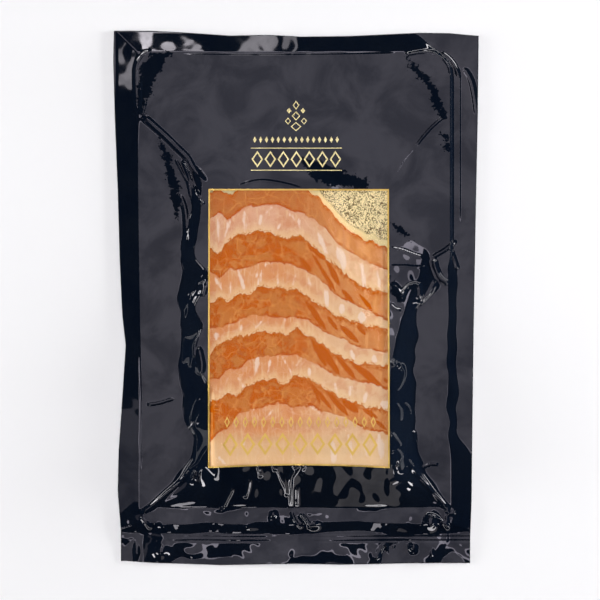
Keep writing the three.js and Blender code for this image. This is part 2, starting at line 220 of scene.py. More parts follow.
def shoulder(x, y):
    """Share of the card's level that the film keeps past the card's edge."""
    by_left = ease((CARD_LEFT + SIDE_BLEND - x) / SIDE_BLEND)
    by_right = ease((x - CARD_RIGHT + SIDE_BLEND) / SIDE_BLEND)
    by_right = by_right * ease((BROAD_RIGHT_BELOW - y) / BROAD_RIGHT_OVER)
    by_top = ease((y - CARD_TOP_EDGE + SIDE_BLEND) / SIDE_BLEND)
    by_top = by_top * ease((BROAD_TOP_FROM + BROAD_TOP_OVER - x) / BROAD_TOP_OVER)
    broad = np.maximum(np.maximum(by_left, by_right), by_top)
    steep = ease((y - STEEP_ABOVE) / STEEP_OVER)
    sharp = np.where(x < 0, LEFT_DROP, SHARP_DROP)
    sharp = sharp + (STEEP_DROP - sharp) * steep
    drop = sharp + (BROAD_DROP - sharp) * broad
    begin = SHOULDER_START + (STEEP_START - SHOULDER_START) * np.maximum(steep, broad)
    wavy = SIDE_WAVE * ripples(y, x, size=13, seed=21) * (1 - steep)
    rounded = distance_past_card(x, np.maximum(y, CARD_BOTTOM + CARD_RADIUS))
    mitred = np.maximum(np.maximum(CARD_LEFT - x, x - CARD_RIGHT), y - CARD_TOP_EDGE)
    past = rounded + (mitred - rounded) * broad
    beside = 1 - soft_ramp((past - begin - wavy * (1 - broad)) / drop)
    past_strip = CARD_BOTTOM - BOTTOM_STRIP - y - STRIP_WAVE * ripples(x, y * ONE_WAY, size=26, seed=22)
    return np.minimum(beside, 1 - soft_ramp(past_strip / BOTTOM_DROP))


# %% [markdown]
# ## The climb over the slices
# On each side the film climbs from a foot, out on the card, to a crest beside the window. The
# slices lie shingled, so the stack is a wedge that thickens down the pack, and above the first
# slice the film comes down to the card as a shallow tent.
# %% Rise over the stack
LEFT_CLIMB = (
    [-102.5, -88.8, -76.6, -68.3, -59.5, -44.9, -35.1, -24, -14, -4, 4, 12.7, 19, 30.7, 40.5, 60],
    [-74.2, -58.6, -50.8, -48.8, -53.2, -54.7, -56.6, -55.6, -55.3, -56.6, -56.2, -54.6, -56.1, -53.7,
     -51.2, -51],
    [-34.2, -36.5, -39.5, -40, -40, -40.7, -46.5, -50, -46, -49.4, -45, -43.5, -48.8, -48.3, -46.8, -46.4],
)
RIGHT_CLIMB = (
    [-102.5, -93.7, -84.9, -76.6, -64.4, -49.8, -35.1, -18.1, -4.4, 5.4, 8.3, 11.2, 23.4, 31, 44],
    [74.7, 68.8, 62.5, 59.5, 57.1, 57.6, 56.6, 58.6, 59.5, 69.8, 70.8, 68.8, 68.8, 70, 70],
    [47.8, 47.2, 46.6, 46.2, 45.9, 45.9, 46.8, 50, 54, 58, 59.5, 60.5, 62.5, 62.5, 62.5],
)
CLIMB_WAVE = 0.5
APRON_FOOT, APRON_CREST, APRON_CORNER = -102.0, -81.0, 0.02
TENT_FOOT = (
    [-60, -45, -28, -17, 3, 13, 25, 44, 52, 60, 70],
    [60, 66, 69, 71, 69, 62, 52, 36, 31.5, 26.5, 20],
)
TENT_SLOPE = 0.115
WEDGE_TOP, WEDGE_RISE, WEDGE_SLOPE = 52.0, 1.6, 0.075
print("most that the stack lifts the film, mm:", round(PLATEAU - CARD_LEVEL, 2))


def climb(x, y, side):
    places, feet, crests = side
    foot = smooth_curve(places, feet, y) + CLIMB_WAVE * ripples(y, x * ONE_WAY, size=11, seed=31)
    crest = smooth_curve(places, crests, y)
    return soft_ramp((x - foot) / (crest - foot))


def stack_rise(x, y):
    """Rise of the film over the stack of slices, above its level on the card."""
    sides = climb(x, y, LEFT_CLIMB) * climb(x, y, RIGHT_CLIMB)
    tent = TENT_SLOPE * np.maximum(smooth_curve(*TENT_FOOT, x) - y, 0)
    wedge = WEDGE_RISE + WEDGE_SLOPE * (WEDGE_TOP - y)
    apron = soft_ramp((y - APRON_FOOT) / (APRON_CREST - APRON_FOOT), APRON_CORNER)
    height = np.minimum(np.minimum(tent, wedge), PLATEAU - CARD_LEVEL)
    return sides * apron * np.maximum(height, 0)


def calm_film(x, y):
    """Height of the film over the table before any fold or ripple."""
    return FLANGE + (CARD_LEVEL - FLANGE) * shoulder(x, y) + stack_rise(x, y)


# %% [markdown]
# ## The folds
# Where the tight film is pulled towards a corner or creased over an edge, it stands up in a
# ridge. A fold here is a line of points, its height and its half width, and it shows only
# because its two sides mirror something darker or brighter than the level film does.
# %% Folds from the corners: points of the line, height and half width
CORNER_FOLDS = [
    ([(-75.5, 89), (-72, 86.5), (-67.5, 82.5), (-62.5, 78),
      (-57.5, 73), (-53, 68.5), (-50, 63), (-46.5, 58), (-43, 53)], 0.5, 1.7),
    ([(-73, 96.5), (-74, 92.5), (-75, 89)], 0.28, 0.7),
    ([(-59, 68.5), (-55.5, 61.5), (-52.5, 55.5), (-51, 48)], 0.35, 0.55),
    ([(-56, 67.5), (-52, 60), (-48.5, 52), (-47, 48.5)], 0.35, 0.55),
    ([(-55, 67.5), (-53, 61.5), (-51, 54.5), (-47.5, 48), (-44, 45)], 0.5, 0.8),
    ([(-70.5, 120.5), (-74, 119), (-76.5, 116), (-78, 111.5), (-78, 101.5), (-77.5, 91)], 0.33, 0.8),
    ([(-75.5, 106.5), (-76, 99), (-75.5, 91)], 0.35, 0.6),
    ([(74, 89.5), (68.5, 85.5), (63.5, 80.5), (57.5, 73)], 0.28, 0.6),
    ([(57.5, 73), (52.5, 67.5), (48, 60)], 0.12, 0.6),
    ([(70.5, 120), (74.5, 117), (77.5, 113), (79.5, 107)], 0.42, 0.9),
    ([(71.5, 117), (74.5, 113), (75.5, 108.5)], 0.4, 0.7),
    ([(52.5, 118.5), (63, 120), (70.5, 119)], 0.45, 0.8),
    ([(81, 113), (85, 106.5), (87, 97.5), (88.5, 86)], 0.35, 1.4),
]
print("folds from the corners:", len(CORNER_FOLDS))

# %% Folds beside the window
LEFT_FOLDS = [
    ([(-44.5, 12), (-48, 7.5), (-51, 1), (-52.5, -6), (-53.5, -12)], 0.3, 0.9),
    ([(-47, -16), (-49, -23), (-50.5, -30.5), (-51, -34)], 0.33, 0.8),
    ([(-42.5, -41.5), (-46, -46.5), (-49, -52), (-51, -59.5), (-52, -64.5)], 0.44, 0.9),
    ([(-41, -51), (-45, -54), (-47.5, -58.5), (-49.5, -64)], 0.33, 0.8),
    ([(-41.5, -71), (-45, -76), (-48, -81), (-52.5, -84)], 0.5, 1),
    ([(-73, -52), (-66.5, -51), (-58.5, -48.5)], 0.3, 0.7),
    ([(-46, 8), (-44.5, 5), (-45.5, 0.5)], 0.45, 1.6),
    ([(-47.5, -23), (-45.5, -32.5), (-47, -37.5)], 0.6, 1.6),
    ([(-57.5, 52.5), (-54, 43), (-53.5, 30.5), (-55, 21)], 0.4, 1.2),
]
RIGHT_FOLDS = [
    ([(78.5, 28.5), (74.5, 25), (71, 22.5), (65.5, 19.5)], 0.44, 0.9),
    ([(75.5, 23.5), (77, 19.5), (79, 13.5)], 0.5, 0.8),
    ([(45.5, 24.5), (51, 23.5), (56.5, 21.5), (62.5, 19.5)], 0.28, 0.6),
    ([(45.5, 15.5), (49.5, 15.5), (53.5, 15.5), (58.5, 15), (64, 15.5)], 0.2, 0.6),
    ([(67, 19.5), (68, 14.5), (70.5, 9.5), (74.5, 7)], 0.7, 1.2),
    ([(68.5, 9), (64.5, 2), (59.5, -4)], 0.42, 0.9),
    ([(51, -2.5), (52, 2.5), (55, 6), (59, 6.5), (60.5, 3.5), (59.5, -2.5)], 0.47, 0.9),
    ([(45.5, 7), (49, 3.5), (52.5, 0.5)], 0.45, 1.6),
    ([(45.5, -3), (48.5, -5.5), (51, -5.5)], 0.3, 0.7),
    ([(45, -31.5), (47.5, -31), (51, -33), (52.5, -37), (50, -43), (46, -46)], 0.44, 1),
    ([(51, -52), (53, -51.5), (55.5, -55), (56, -61.5)], 0.33, 0.8),
    ([(48, -50.5), (50.5, -54.5), (50.5, -60)], 0.33, 0.8),
    ([(45.5, -64.5), (48.5, -68.5), (51, -72)], 0.33, 0.8),
    ([(46, -75), (49, -74), (51, -77.5), (48.5, -82.5)], 0.39, 0.8),
    ([(61.5, -82.5), (65.5, -81), (69.5, -81)], 0.3, 0.7),
    ([(79.5, 115), (79.5, 87), (79.5, 28.5)], 0.12, 0.8),
    ([(76, 116), (76, 72), (76, 17.5)], 0.3, 0.6),
]
print("folds left and right of the window:", len(LEFT_FOLDS), len(RIGHT_FOLDS))

# %% Folds below the window
BOTTOM_FOLDS = [
    ([(-51, -82.5), (-55.5, -88.5), (-62.5, -94.5), (-70.5, -101.5), (-76, -105)], 0.56, 1.1),
    ([(-49, -84), (-50.5, -87.5)], 0.5, 0.8),
    ([(-46, -82), (-47.5, -86), (-48.5, -90.5)], 0.33, 0.8),
    ([(52.5, -76.5), (57.5, -83.5), (63.5, -91), (69.5, -97.5), (75, -104)], 0.56, 1.1),
    ([(57.5, -64.5), (58, -70)], 0.33, 0.8),
    ([(73, -102.5), (75, -105), (78, -104)], 0.33, 0.8),
    ([(-36.5, -104), (-33.5, -98), (-30.5, -92)], 0.33, 0.8),
    ([(-25, -97.5), (-23.5, -93.5), (-22.5, -87.5)], 0.33, 0.8),
    ([(-18.5, -81), (-17, -87)], 0.33, 0.8),
    ([(-10, -79), (-7.5, -86.5), (-5, -92), (-4.5, -97)], 0.3, 0.8),
    ([(-2.5, -104.5), (-2.5, -89), (-1, -84.5), (2.5, -80)], 0.5, 0.9),
    ([(0.5, -91.5), (0.5, -102.5)], 0.33, 0.7),
    ([(-2.5, -103.5), (-0.5, -108.5), (3, -112.5)], 0.33, 0.8),
    ([(2, -104.5), (6, -109.5), (7, -112.5)], 0.5, 0.8),
    ([(43.5, -91), (51, -88), (58, -91.5), (70.5, -98.5)], 0.2, 1.6),
    ([(63, -105), (69.5, -107.5), (75, -113)], 0.5, 0.9),
    ([(-76, -106.5), (-73, -109.5), (-70.5, -113)], 0.33, 0.9),
    ([(38.5, -128.5), (43.5, -120), (45.5, -129)], 0.35, 0.7),
]
print("folds below the window:", len(BOTTOM_FOLDS))

# %% Beads along the card's edge and small creases over the window
BEADS = [
    ([(-77, 84), (-76.5, 30), (-75.5, -20), (-74.5, -60), (-75, -92)], 0.09, 0.5),
    ([(-62, 118.5), (-20, 118), (30, 118.5), (50, 119)], 0.12, 0.5),
]
PANEL_FOLDS = [
    ([(-29.5, 54), (-18, 57), (-6, 55.5), (4.5, 52.5)], 0.22, 0.7),
    ([(-34.5, -63.5), (-34.5, -72)], 0.35, 0.8),
    ([(19.5, -60), (23.5, -64.5)], 0.35, 0.7),
    ([(-13, -76), (-10, -84)], 0.35, 0.6),
    ([(-18.5, -76.5), (-17.5, -84)], 0.19, 0.5),
    ([(-1, -71), (-2, -78), (0, -84)], 0.35, 0.6),
    ([(4, -71), (5, -77), (3.5, -84)], 0.35, 0.6),
]

# %% Height of all the folds
FOLDS = CORNER_FOLDS + LEFT_FOLDS + RIGHT_FOLDS + BOTTOM_FOLDS + BEADS + PANEL_FOLDS
FOLD_REACH = 3.0
FOLD_FADE = 0.14
print("folds of the film:", len(FOLDS))


def folds(x, y):
    """Height of all the folds together, each fading towards its ends."""
    total = np.zeros_like(x)
    for points, height, width in FOLDS:
        path = rounded_path(points)
        low = path.min(axis=0) - FOLD_REACH * width
        high = path.max(axis=0) + FOLD_REACH * width
        near = (x > low[0]) & (x < high[0]) & (y > low[1]) & (y < high[1])
        if not near.any():
            continue
        gap, share = distance_to_line(x[near], y[near], path)
        fade = ease(share / FOLD_FADE) * ease((1 - share) / FOLD_FADE)
        total[near] += height * fade * np.exp(-(gap / width) ** 2)
    return total


# %% [markdown]
# ## Bumps
# Near the weld the film puckers into small blisters. A blister shows as a light ring, where its
# flank is tilted enough to mirror the sky.
# %% Bumps: centre, half width, half length and height of each
BUMPS = [
    (-77.8, -123.7, 1.7, 4.1, 0.8), (-66.1, -123.7, 4.2, 3.9, 1.5), (-51, -125.2, 4.1, 2.7, 0.4),
    (57.1, -121.8, 2, 2.2, 0.95), (47.8, -121.5, 0.9, 0.9, 0.4), (66.1, -124.9, 0.8, 2, 0.4),
    (-73.2, -109.6, 2.9, 3.7, 0.5), (-64.9, -112, 2.4, 2.2, 0.5), (-23.2, -111.8, 4.1, 1.5, 0.4),
    (-11, -105.6, 1.7, 2.2, 0.8), (8.8, -110.8, 2.9, 2.4, 1.1), (65.6, -109.1, 3.2, 4.6, 1.5),
    (73.4, -109.6, 0.8, 3.7, 0.4), (38.5, -126, 3, 4, 0.7), (2, -125, 5, 4, 0.5), (22, -126, 4, 3, 0.4),
    (-49.8, -86.5, 1.6, 3.2, 0.8),
    (50.5, -81, 1.6, 3, 0.8), (47.5, -32, 1.4, 1.2, 0.6), (51, -33, 1.6, 1.6, 0.7),
]
print("bumps of the film:", len(BUMPS))


def bumps(x, y):
    total = np.zeros_like(x)
    for centre_x, centre_y, half_width, half_length, height in BUMPS:
        across = (x - centre_x) / half_width
        along = (y - centre_y) / half_length
        total += height * np.exp(-across * across - along * along)
    return total


# %% Small waves of the film and the ribs of its closing seal
LONG_WAVE, LONG_WAVE_ON_CARD = 0.01, 0.04
SHORT_WAVE, SHORT_WAVE_ON_CARD = 0.001, 0.007
WELD_WAVE, WELD_RIPPLE = 0.34, 0.02
STACK_RIPPLE, APRON_WAVE = 0.03, 0.075
WELD_BELOW, APRON_BELOW, WAVE_BLEND = -100.0, -78.0, 5.0
FULL_STACK = 3.0
SEAL_MIDDLE, SEAL_HALF, SEAL_EDGE = -117.1, 2.4, 0.8
SEAL_DEPTH, SEAL_RIB = 0.1, 1.9
LAP_TILT = 0.037
LOWEST_FILM = 0.25


def waves(x, y):
    on_card = shoulder(x, y)
    total = (LONG_WAVE + LONG_WAVE_ON_CARD * on_card) * ripples(x, y, size=34, seed=7)
    total += (SHORT_WAVE + SHORT_WAVE_ON_CARD * on_card) * ripples(x, y, size=9, seed=8)
    near_weld = ease((WELD_BELOW - y) / WAVE_BLEND)
    total += near_weld * WELD_WAVE * ripples(x, y * 0.8, size=18, seed=9)
    total += near_weld * WELD_RIPPLE * ripples(x, y, size=5, seed=10)
    over_stack = ease(stack_rise(x, y) / FULL_STACK)
    total += over_stack * STACK_RIPPLE * ripples(x, y, size=8, seed=11)
    on_apron = over_stack * ease((APRON_BELOW - y) / WAVE_BLEND)
    aslant, along = 0.84 * x - 0.55 * y, 0.2 * x + 0.3 * y
    total += on_apron * APRON_WAVE * ripples(aslant, along, size=8, seed=12)
    total += LAP_TILT * np.minimum(y - SEAL_MIDDLE, 0)
    return total


def film_height(x, y):
    """Height of the pack's outer film over the table."""
    height = calm_film(x, y) + folds(x, y) + bumps(x, y) + waves(x, y)
    in_seal = ease((SEAL_HALF - np.abs(y - SEAL_MIDDLE)) / SEAL_EDGE)
    turn = 2 * math.pi * (y - SEAL_MIDDLE) / SEAL_RIB
    rib = np.sin(turn + 0.5 * ripples(x, y * ONE_WAY, size=60, seed=61))
    depth = SEAL_DEPTH * (1 + 0.9 * ripples(x, y * ONE_WAY, size=70, seed=62))
    return np.maximum(height - depth * in_seal * (1 + rib) / 2, LOWEST_FILM)


sample = np.array([0.0]), np.array([0.0])
print("film over the middle of the slices, mm:", round(float(film_height(*sample)[0]), 2))

# %% [markdown]
# ## The slices' edges
# The slices overlap like roof tiles. Only the upper edge of each one is needed to place it: below
# the next slice's edge it is hidden. The five edges are read at the same places across the pack,
# and small ripples make their lobes uneven, as torn smoked fish is.
# %% Upper edges of the slices
EDGE_PLACES = [-55, -47, -40.5, -36.5, -33, -29, -23, -17, -11, -5.5, 0, 5.5, 13, 22, 32, 44, 58]
SLICE_EDGES = [
    [43.5, 49.2, 51.7, 52.6, 50.8, 52.9, 55, 57.2, 57, 56.5, 55, 53, 46.5, 36.3, 30, 24.5, 21],
    [14.5, 20.4, 24.4, 22.4, 27.8, 30.2, 31.3, 32.7, 30.9, 28.3, 30.3, 27.6, 20.7, 12.9, 5.4, 2.4, -1],
    [-9, -5, -2.4, -0.3, -2.0, 1, 1.3, 4.6, 4.4, 4.4, 3.4, 0, -4.6, -9.3, -12.4, -14.9, -17.5],
    [-39, -33.3, -26.8, -22.8, -20.4, -18.8, -18.3, -16.3, -17.4, -17.3, -15.7, -18.1, -23, -28.8, -32,
     -33.2, -35],
    [-58.8, -53.8, -50.3, -49, -46.2, -47.4, -43.1, -40.5, -39.8, -41.8, -38.3, -39.4, -43.8, -48.3, -52.6,
     -53.9, -56.5],
]
print("places at which each edge is read:", len(EDGE_PLACES))

# %% Lines between the smoked rim and the paler flesh
BAND_PLACES = [-47, -40.5, -37, -33, -28, -22, -16, -9, -2, 5, 13, 21, 32, 44, 58]
BAND_LINES = [
    [37, 39.2, 41.6, 38, 42.2, 44.6, 44.9, 45.3, 42.4, 40.4, 35, 26, 19, 13.5, 9],
    [14.6, 12.4, 9.8, 14, 13.9, 15.6, 17.2, 17.1, 16, 13.3, 7.8, 0.6, -5, -10.6, -14.5],
    [-15.6, -14.5, -14, -13.2, -11.2, -8.7, -8.4, -9.8, -9.6, -10.5, -15.8, -19.4, -24, -26.2, -28.3],
    [-40, -39.4, -38.8, -35, -34.2, -30, -28.3, -28, -27.6, -29.4, -34.1, -38.2, -40.5, -44.2, -47.7],
    [-73, -68.5, -64.6, -63, -56.2, -54.3, -52.7, -50.9, -52.7, -52, -55, -56.3, -62.5, -65.5, -69.3],
]
print("places at which each line is read:", len(BAND_PLACES))

# %% Where a slice's edge runs
SLICES = len(SLICE_EDGES)
STACK_END = -88.0
OVERLAP = 1.8
EDGE_PRESS = 0.72
LOBE_SIZE, LOBE_DEPTH = 5.0, 0.7
TEAR_SIZE, TEAR_DEPTH = 1.9, 0.32
print("slices:", SLICES)


def slice_edge(index, x):
    """Upper edge of a slice; past the last one, the steps down to the stack's end."""
    last = SLICES - 1
    if index <= last:
        lobes = LOBE_DEPTH * ripples(x, 0 * x, LOBE_SIZE, 100 + index)
        lobes += TEAR_DEPTH * ripples(x, 0 * x, TEAR_SIZE, 200 + index)
        return smooth_curve(EDGE_PLACES, SLICE_EDGES[index], x) + lobes
    edge = smooth_curve(EDGE_PLACES, SLICE_EDGES[last], x)
    return edge + (STACK_END - edge) * (index - last) / OVERLAP


# %% [markdown]
# ## Making pieces
# A film piece starts as a grid of unit cells from bmesh. Its columns and rows are then laid out
# between named stations, so that neighbouring pieces share the points along their common side,
# and every point is moved at once: outwards to the pouch's uneven outline, and up to the film's
# height. The printed window is drawn in a little at its lower edge by the tight film, and all
# that is printed on the film moves with it.
# %% Where a point of the flat grid ends up
GRID_HALF_WIDTH, GRID_HALF_HEIGHT = 90.0, 131.0
BOW, BOW_REACH = 1.5, 12.0


def drawn_in(x, y):
    """Where a printed point ends up after the film has been pulled tight."""
    middle = (WINDOW_LEFT + WINDOW_RIGHT) / 2
    half = (WINDOW_RIGHT - WINDOW_LEFT) / 2
    arch = np.clip(1 - ((x - middle) / half) ** 2, 0, 1)
    return y + BOW * arch * np.exp(-((y - WINDOW_BOTTOM) / BOW_REACH) ** 2)


def stretched(value, limit, grid_end, real_end):
    """Stretch what lies past a limit, so that the grid's end lands on the real one."""
    share = np.clip((value - limit) / (grid_end - limit), 0, 1)
    return np.where(share > 0, limit + (real_end - limit) * share, value)


def to_outline(x, y):
    """Stretch the flange of the flat grid out to the pouch's real outline."""
    y = stretched(y, CARD_TOP_EDGE, GRID_HALF_HEIGHT, np.interp(x, *TOP_SIDE))
    y = stretched(y, CARD_BOTTOM, -GRID_HALF_HEIGHT, np.interp(x, *BOTTOM_SIDE))
    x = stretched(x, CARD_LEFT, -GRID_HALF_WIDTH, np.interp(y, *LEFT_SIDE))
    x = stretched(x, CARD_RIGHT, GRID_HALF_WIDTH, np.interp(y, *RIGHT_SIDE))
    return x, y


# %% Grids and boards
def add_grid(bm, left, right, bottom, top, columns, rows):
    """Add a flat grid over a rectangle to a bmesh."""
    made = bmesh.ops.create_grid(bm, x_segments=columns, y_segments=rows, size=0.5)["verts"]
    bmesh.ops.scale(bm, vec=(right - left, top - bottom, 1), verts=made)
    bmesh.ops.translate(bm, vec=((left + right) / 2, (bottom + top) / 2, 0), verts=made)


def add_cells(bm, left, right, bottom, top, spacing):
    """Add a grid of nearly square cells of about one size."""
    columns = max(1, round((right - left) / spacing))
    rows = max(1, round((top - bottom) / spacing))
    add_grid(bm, left, right, bottom, top, columns, rows)


def thicken(bm, height):
    """Extrude a flat board upwards and turn all of its faces outwards."""
    made = bmesh.ops.extrude_face_region(bm, geom=bm.faces[:], use_keep_orig=True)["geom"]
    raised = [item for item in made if isinstance(item, bmesh.types.BMVert)]
    bmesh.ops.translate(bm, vec=(0, 0, height), verts=raised)
    bmesh.ops.recalc_face_normals(bm, faces=bm.faces)


# %% A finished piece
def finish_piece(name, bm, material, place, replaces=()):
    """Turn a bmesh into an object, move its points with place, and hang it on the frame."""
    mesh = bpy.data.meshes.new(name)
    bm.to_mesh(mesh)
    bm.free()
    flat = np.empty(len(mesh.vertices) * 3)
    mesh.vertices.foreach_get("co", flat)
    x, y, z = flat.reshape(-1, 3).T
    placed = np.stack(place(x.copy(), y.copy(), z.copy()), axis=1) * MM
    mesh.vertices.foreach_set("co", placed.ravel())
    mesh.polygons.foreach_set("use_smooth", np.ones(len(mesh.polygons), dtype=bool))
    mesh.materials.append(material)
    mesh.update()
    piece = bpy.data.objects.new(name, mesh)
    scene.collection.objects.link(piece)
    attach(piece, "root")
    if replaces:
        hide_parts(*replaces)
    print(name, "has", len(mesh.vertices), "points")
    return piece


# %% [markdown]
# ## Colours and finishes
# The film is one clear plastic sheet printed black on the inside, so it is nearly black with a
# mirror's gloss. The clear window is the same sheet unprinted: light passes through it but for
# the share that Fresnel's law sends back. Gold is foil, and the fish is moist flesh. Each
# material is built from a few short calls, so that its recipe reads from top to bottom.
# %% Colours
def linear(red, green, blue):
    """A colour from 0 to 255 as Blender's linear values."""
    def one(value):
        value = value / 255
        return value / 12.92 if value <= 0.04045 else ((value + 0.055) / 1.055) ** 2.4
    return (one(red), one(green), one(blue), 1.0)


print("half of 255 as a linear value:", round(linear(127.5, 0, 0)[0], 3))


# %% Short calls for shader nodes
class Nodes:
    """A tree of shader nodes under construction."""

    def __init__(self, tree):
        self.tree = tree
        tree.nodes.clear()

    def feed(self, socket, value):
        if hasattr(value, "is_output"):
            self.tree.links.new(value, socket)
        else:
            socket.default_value = value

    def add(self, kind, *inputs, sockets=None, **settings):
        """Make a node and feed its inputs, in their order or by the names of the sockets."""
        made = self.tree.nodes.new("ShaderNode" + kind)
        for key, value in settings.items():
            setattr(made, key, value)
        for socket, value in zip(made.inputs, inputs):
            self.feed(socket, value)
        for label, value in (sockets or {}).items():
            self.feed(made.inputs[label], value)
        return made

    def math(self, operation, *inputs):
        return self.add("Math", *inputs, operation=operation).outputs[0]

    def times(self, first, second):
        return self.math("MULTIPLY", first, second)

    def near(self, value, level):
        """How far a value is from a level."""
        return self.math("ABSOLUTE", self.math("SUBTRACT", value, level))

    def swing(self, value, reach):
        """Turn a value between 0 and 1 into one between minus and plus reach."""
        return self.math("MULTIPLY_ADD", value, 2 * reach, -reach)


# %% Short calls for noise, masks and coats of colour
class Patterns(Nodes):
    """Nodes that make patterns over a piece and mix them."""

    def coordinates(self):
        return self.add("TexCoord").outputs["Object"]

    def stretched(self, scale, turn):
        return self.add("Mapping", self.coordinates(),
                        sockets={"Scale": scale, "Rotation": (0, 0, turn)}).outputs[0]

    def attribute(self, name):
        return self.add("Attribute", attribute_name=name).outputs["Fac"]

    def noise(self, scale, detail=3.0, roughness=0.55, vector=None, distortion=0.0, output="Fac"):
        sockets = {"Scale": scale, "Detail": detail, "Roughness": roughness, "Distortion": distortion}
        sockets["Vector"] = vector if vector is not None else self.coordinates()
        return self.add("TexNoise", sockets=sockets).outputs[output]

    def cracks(self, scale, width):
        """Thin branching lines, between the cells of a pattern that noise has bent."""
        bend = self.noise(scale, detail=2, roughness=0.5, output="Color")
        bent = self.add("VectorMath", bend, [1 / scale] * 3, self.coordinates(), operation="MULTIPLY_ADD")
        cells = self.add("TexVoronoi", feature="DISTANCE_TO_EDGE",
                         sockets={"Vector": bent.outputs[0], "Scale": scale})
        return self.between(cells.outputs["Distance"], width, width / 3)

    def between(self, value, low, high):
        """A smooth mask that is 0 where the value is low and 1 where it is high."""
        return self.add("MapRange", value, low, high, interpolation_type="SMOOTHSTEP").outputs[0]

    def mix(self, mask, first, second):
        made = self.add("Mix", mask, data_type="RGBA")
        self.feed(made.inputs[6], first)
        self.feed(made.inputs[7], second)
        return made.outputs[2]

    def layers(self, base, coats):
        """Lay coats of colour over a base, each with its mask and its strength."""
        for mask, strength, colour in coats:
            share = mask if strength == 1 else self.times(mask, strength)
            base = self.mix(share, base, linear(*colour))
        return base


# %% A material
class Finish(Patterns):
    """Patterns that end in one shader."""

    def __init__(self, name):
        self.material = bpy.data.materials.new(name)
        self.material.use_nodes = True
        super().__init__(self.material.node_tree)
        self.shader = self.add("BsdfPrincipled")
        self.add("OutputMaterial", self.shader.outputs[0])

    def set(self, **values):
        for key, value in values.items():
            self.feed(self.shader.inputs[key.replace("_", " ")], value)

    def bump(self, height, strength, distance):
        sockets = {"Height": height, "Strength": strength, "Distance": distance}
        self.set(Normal=self.add("Bump", sockets=sockets).outputs[0])


# %% [markdown]
# ## The surface of the film
# Both films are the same sheet, so both share one effect: faint smears that spread the gloss,
# and a grain too fine to model. It is a node group, built once: each film tells it how rough
# clean and smeared spots are, and it gives out a roughness and a height for every spot.
# %% Effect shared by the two films
FILM_SOCKETS = [("Clean", "INPUT"), ("Smeared", "INPUT"), ("Roughness", "OUTPUT"), ("Height", "OUTPUT")]


def make_film_surface():
    group = bpy.data.node_groups.new("film_surface", "ShaderNodeTree")
    for label, side in FILM_SOCKETS:
        group.interface.new_socket(name=label, in_out=side, socket_type="NodeSocketFloat")
    nodes = Patterns(group)
    clean, smeared = group.nodes.new("NodeGroupInput").outputs[:2]
    smears = nodes.noise(60, detail=4, roughness=0.5)
    spread = nodes.add("MapRange", smears, sockets={"To Min": clean, "To Max": smeared})
    grain = nodes.noise(170, detail=2, roughness=0.5)
    out = group.nodes.new("NodeGroupOutput")
    nodes.feed(out.inputs["Roughness"], spread.outputs[0])
    nodes.feed(out.inputs["Height"], grain)
    return group


FILM_SURFACE = make_film_surface()
print("sockets of the film surface:", [socket.name for socket in FILM_SURFACE.interface.items_tree])


def lay_film_surface(finish, clean, smeared):
    surface = finish.add("Group", node_tree=FILM_SURFACE, sockets={"Clean": clean, "Smeared": smeared})
    finish.set(Roughness=surface.outputs["Roughness"])
    finish.bump(surface.outputs["Height"], 0.03, 0.0004)


# %% Black film: its gloss comes and goes in soft clouds, and ragged patches of painted shade take it away where the film should mirror darkness
def make_black_film():
    finish = Finish("black_film")
    cloud = finish.noise(42, detail=5, roughness=0.62, distortion=0.6)
    patchy = finish.between(cloud, 0.36, 0.64)
    finish.set(Base_Color=finish.mix(patchy, (0.0022, 0.0044, 0.0100, 1), (0.0034, 0.0058, 0.0112, 1)))
    coarse = finish.noise(260, detail=4, roughness=0.6)
    ragged = finish.math("ADD", finish.swing(coarse, 4.0), finish.swing(finish.noise(800), 3.0))
    # Painted shade: ragged patches lose their coat of gloss, so the film turns black there as if tilted
    # away from the lights.
    painted_shade = finish.between(finish.math("ADD", finish.attribute("to_painted_shade"), ragged), 0.3, -0.3)
    gloss = finish.math("MULTIPLY_ADD", patchy, 0.4, 0.55)
    finish.set(Specular_IOR_Level=0.0, Coat_IOR=1.58, Coat_Roughness=0.02)
    finish.set(Coat_Weight=finish.times(gloss, finish.math("SUBTRACT", 1.0, painted_shade)))
    lay_film_surface(finish, clean=0.03, smeared=0.09)
    return finish.material


# %% Clear film: hardly there but for a share of what it mirrors, kept low so that the fish shows
def make_clear_film():
    finish = Finish("clear_film")
    fresnel = finish.add("Fresnel", sockets={"IOR": 1.26}).outputs[0]
    finish.set(Base_Color=(1, 0.92, 0.7, 1), Metallic=1.0, Alpha=finish.math("MINIMUM", fresnel, 0.04))
    lay_film_surface(finish, clean=0.03, smeared=0.09)
    return finish.material


# %% Gold foil of the print
def make_gold_print(name, deep, light):
    finish = Finish(name)
    finish.set(Base_Color=finish.mix(finish.noise(160), linear(*deep), linear(*light)))
    finish.set(Metallic=0.6, Roughness=0.35)
    return finish.material


# %% Gold card: finely speckled, and plain where oil from the first slice has wetted it
def make_gold_card():
    finish = Finish("gold_card")
    grain = finish.noise(700, roughness=0.6, distortion=1.8)
    dry = finish.between(finish.attribute("past_slice"), 2.2, 3.4)
    speckle = finish.mix(finish.between(grain, 0.4, 0.54), linear(92, 66, 16), linear(252, 232, 176))
    shade = finish.mix(finish.noise(120), linear(217, 194, 133), linear(233, 212, 152))
    speckled = finish.mix(0.92, shade, speckle)
    finish.set(Base_Color=finish.mix(dry, linear(246, 227, 166), speckled))
    finish.set(Metallic=0.1, Roughness=0.4, Specular_IOR_Level=0.2)
    finish.bump(finish.times(grain, dry), 0.6, 0.0005)
    return finish.material


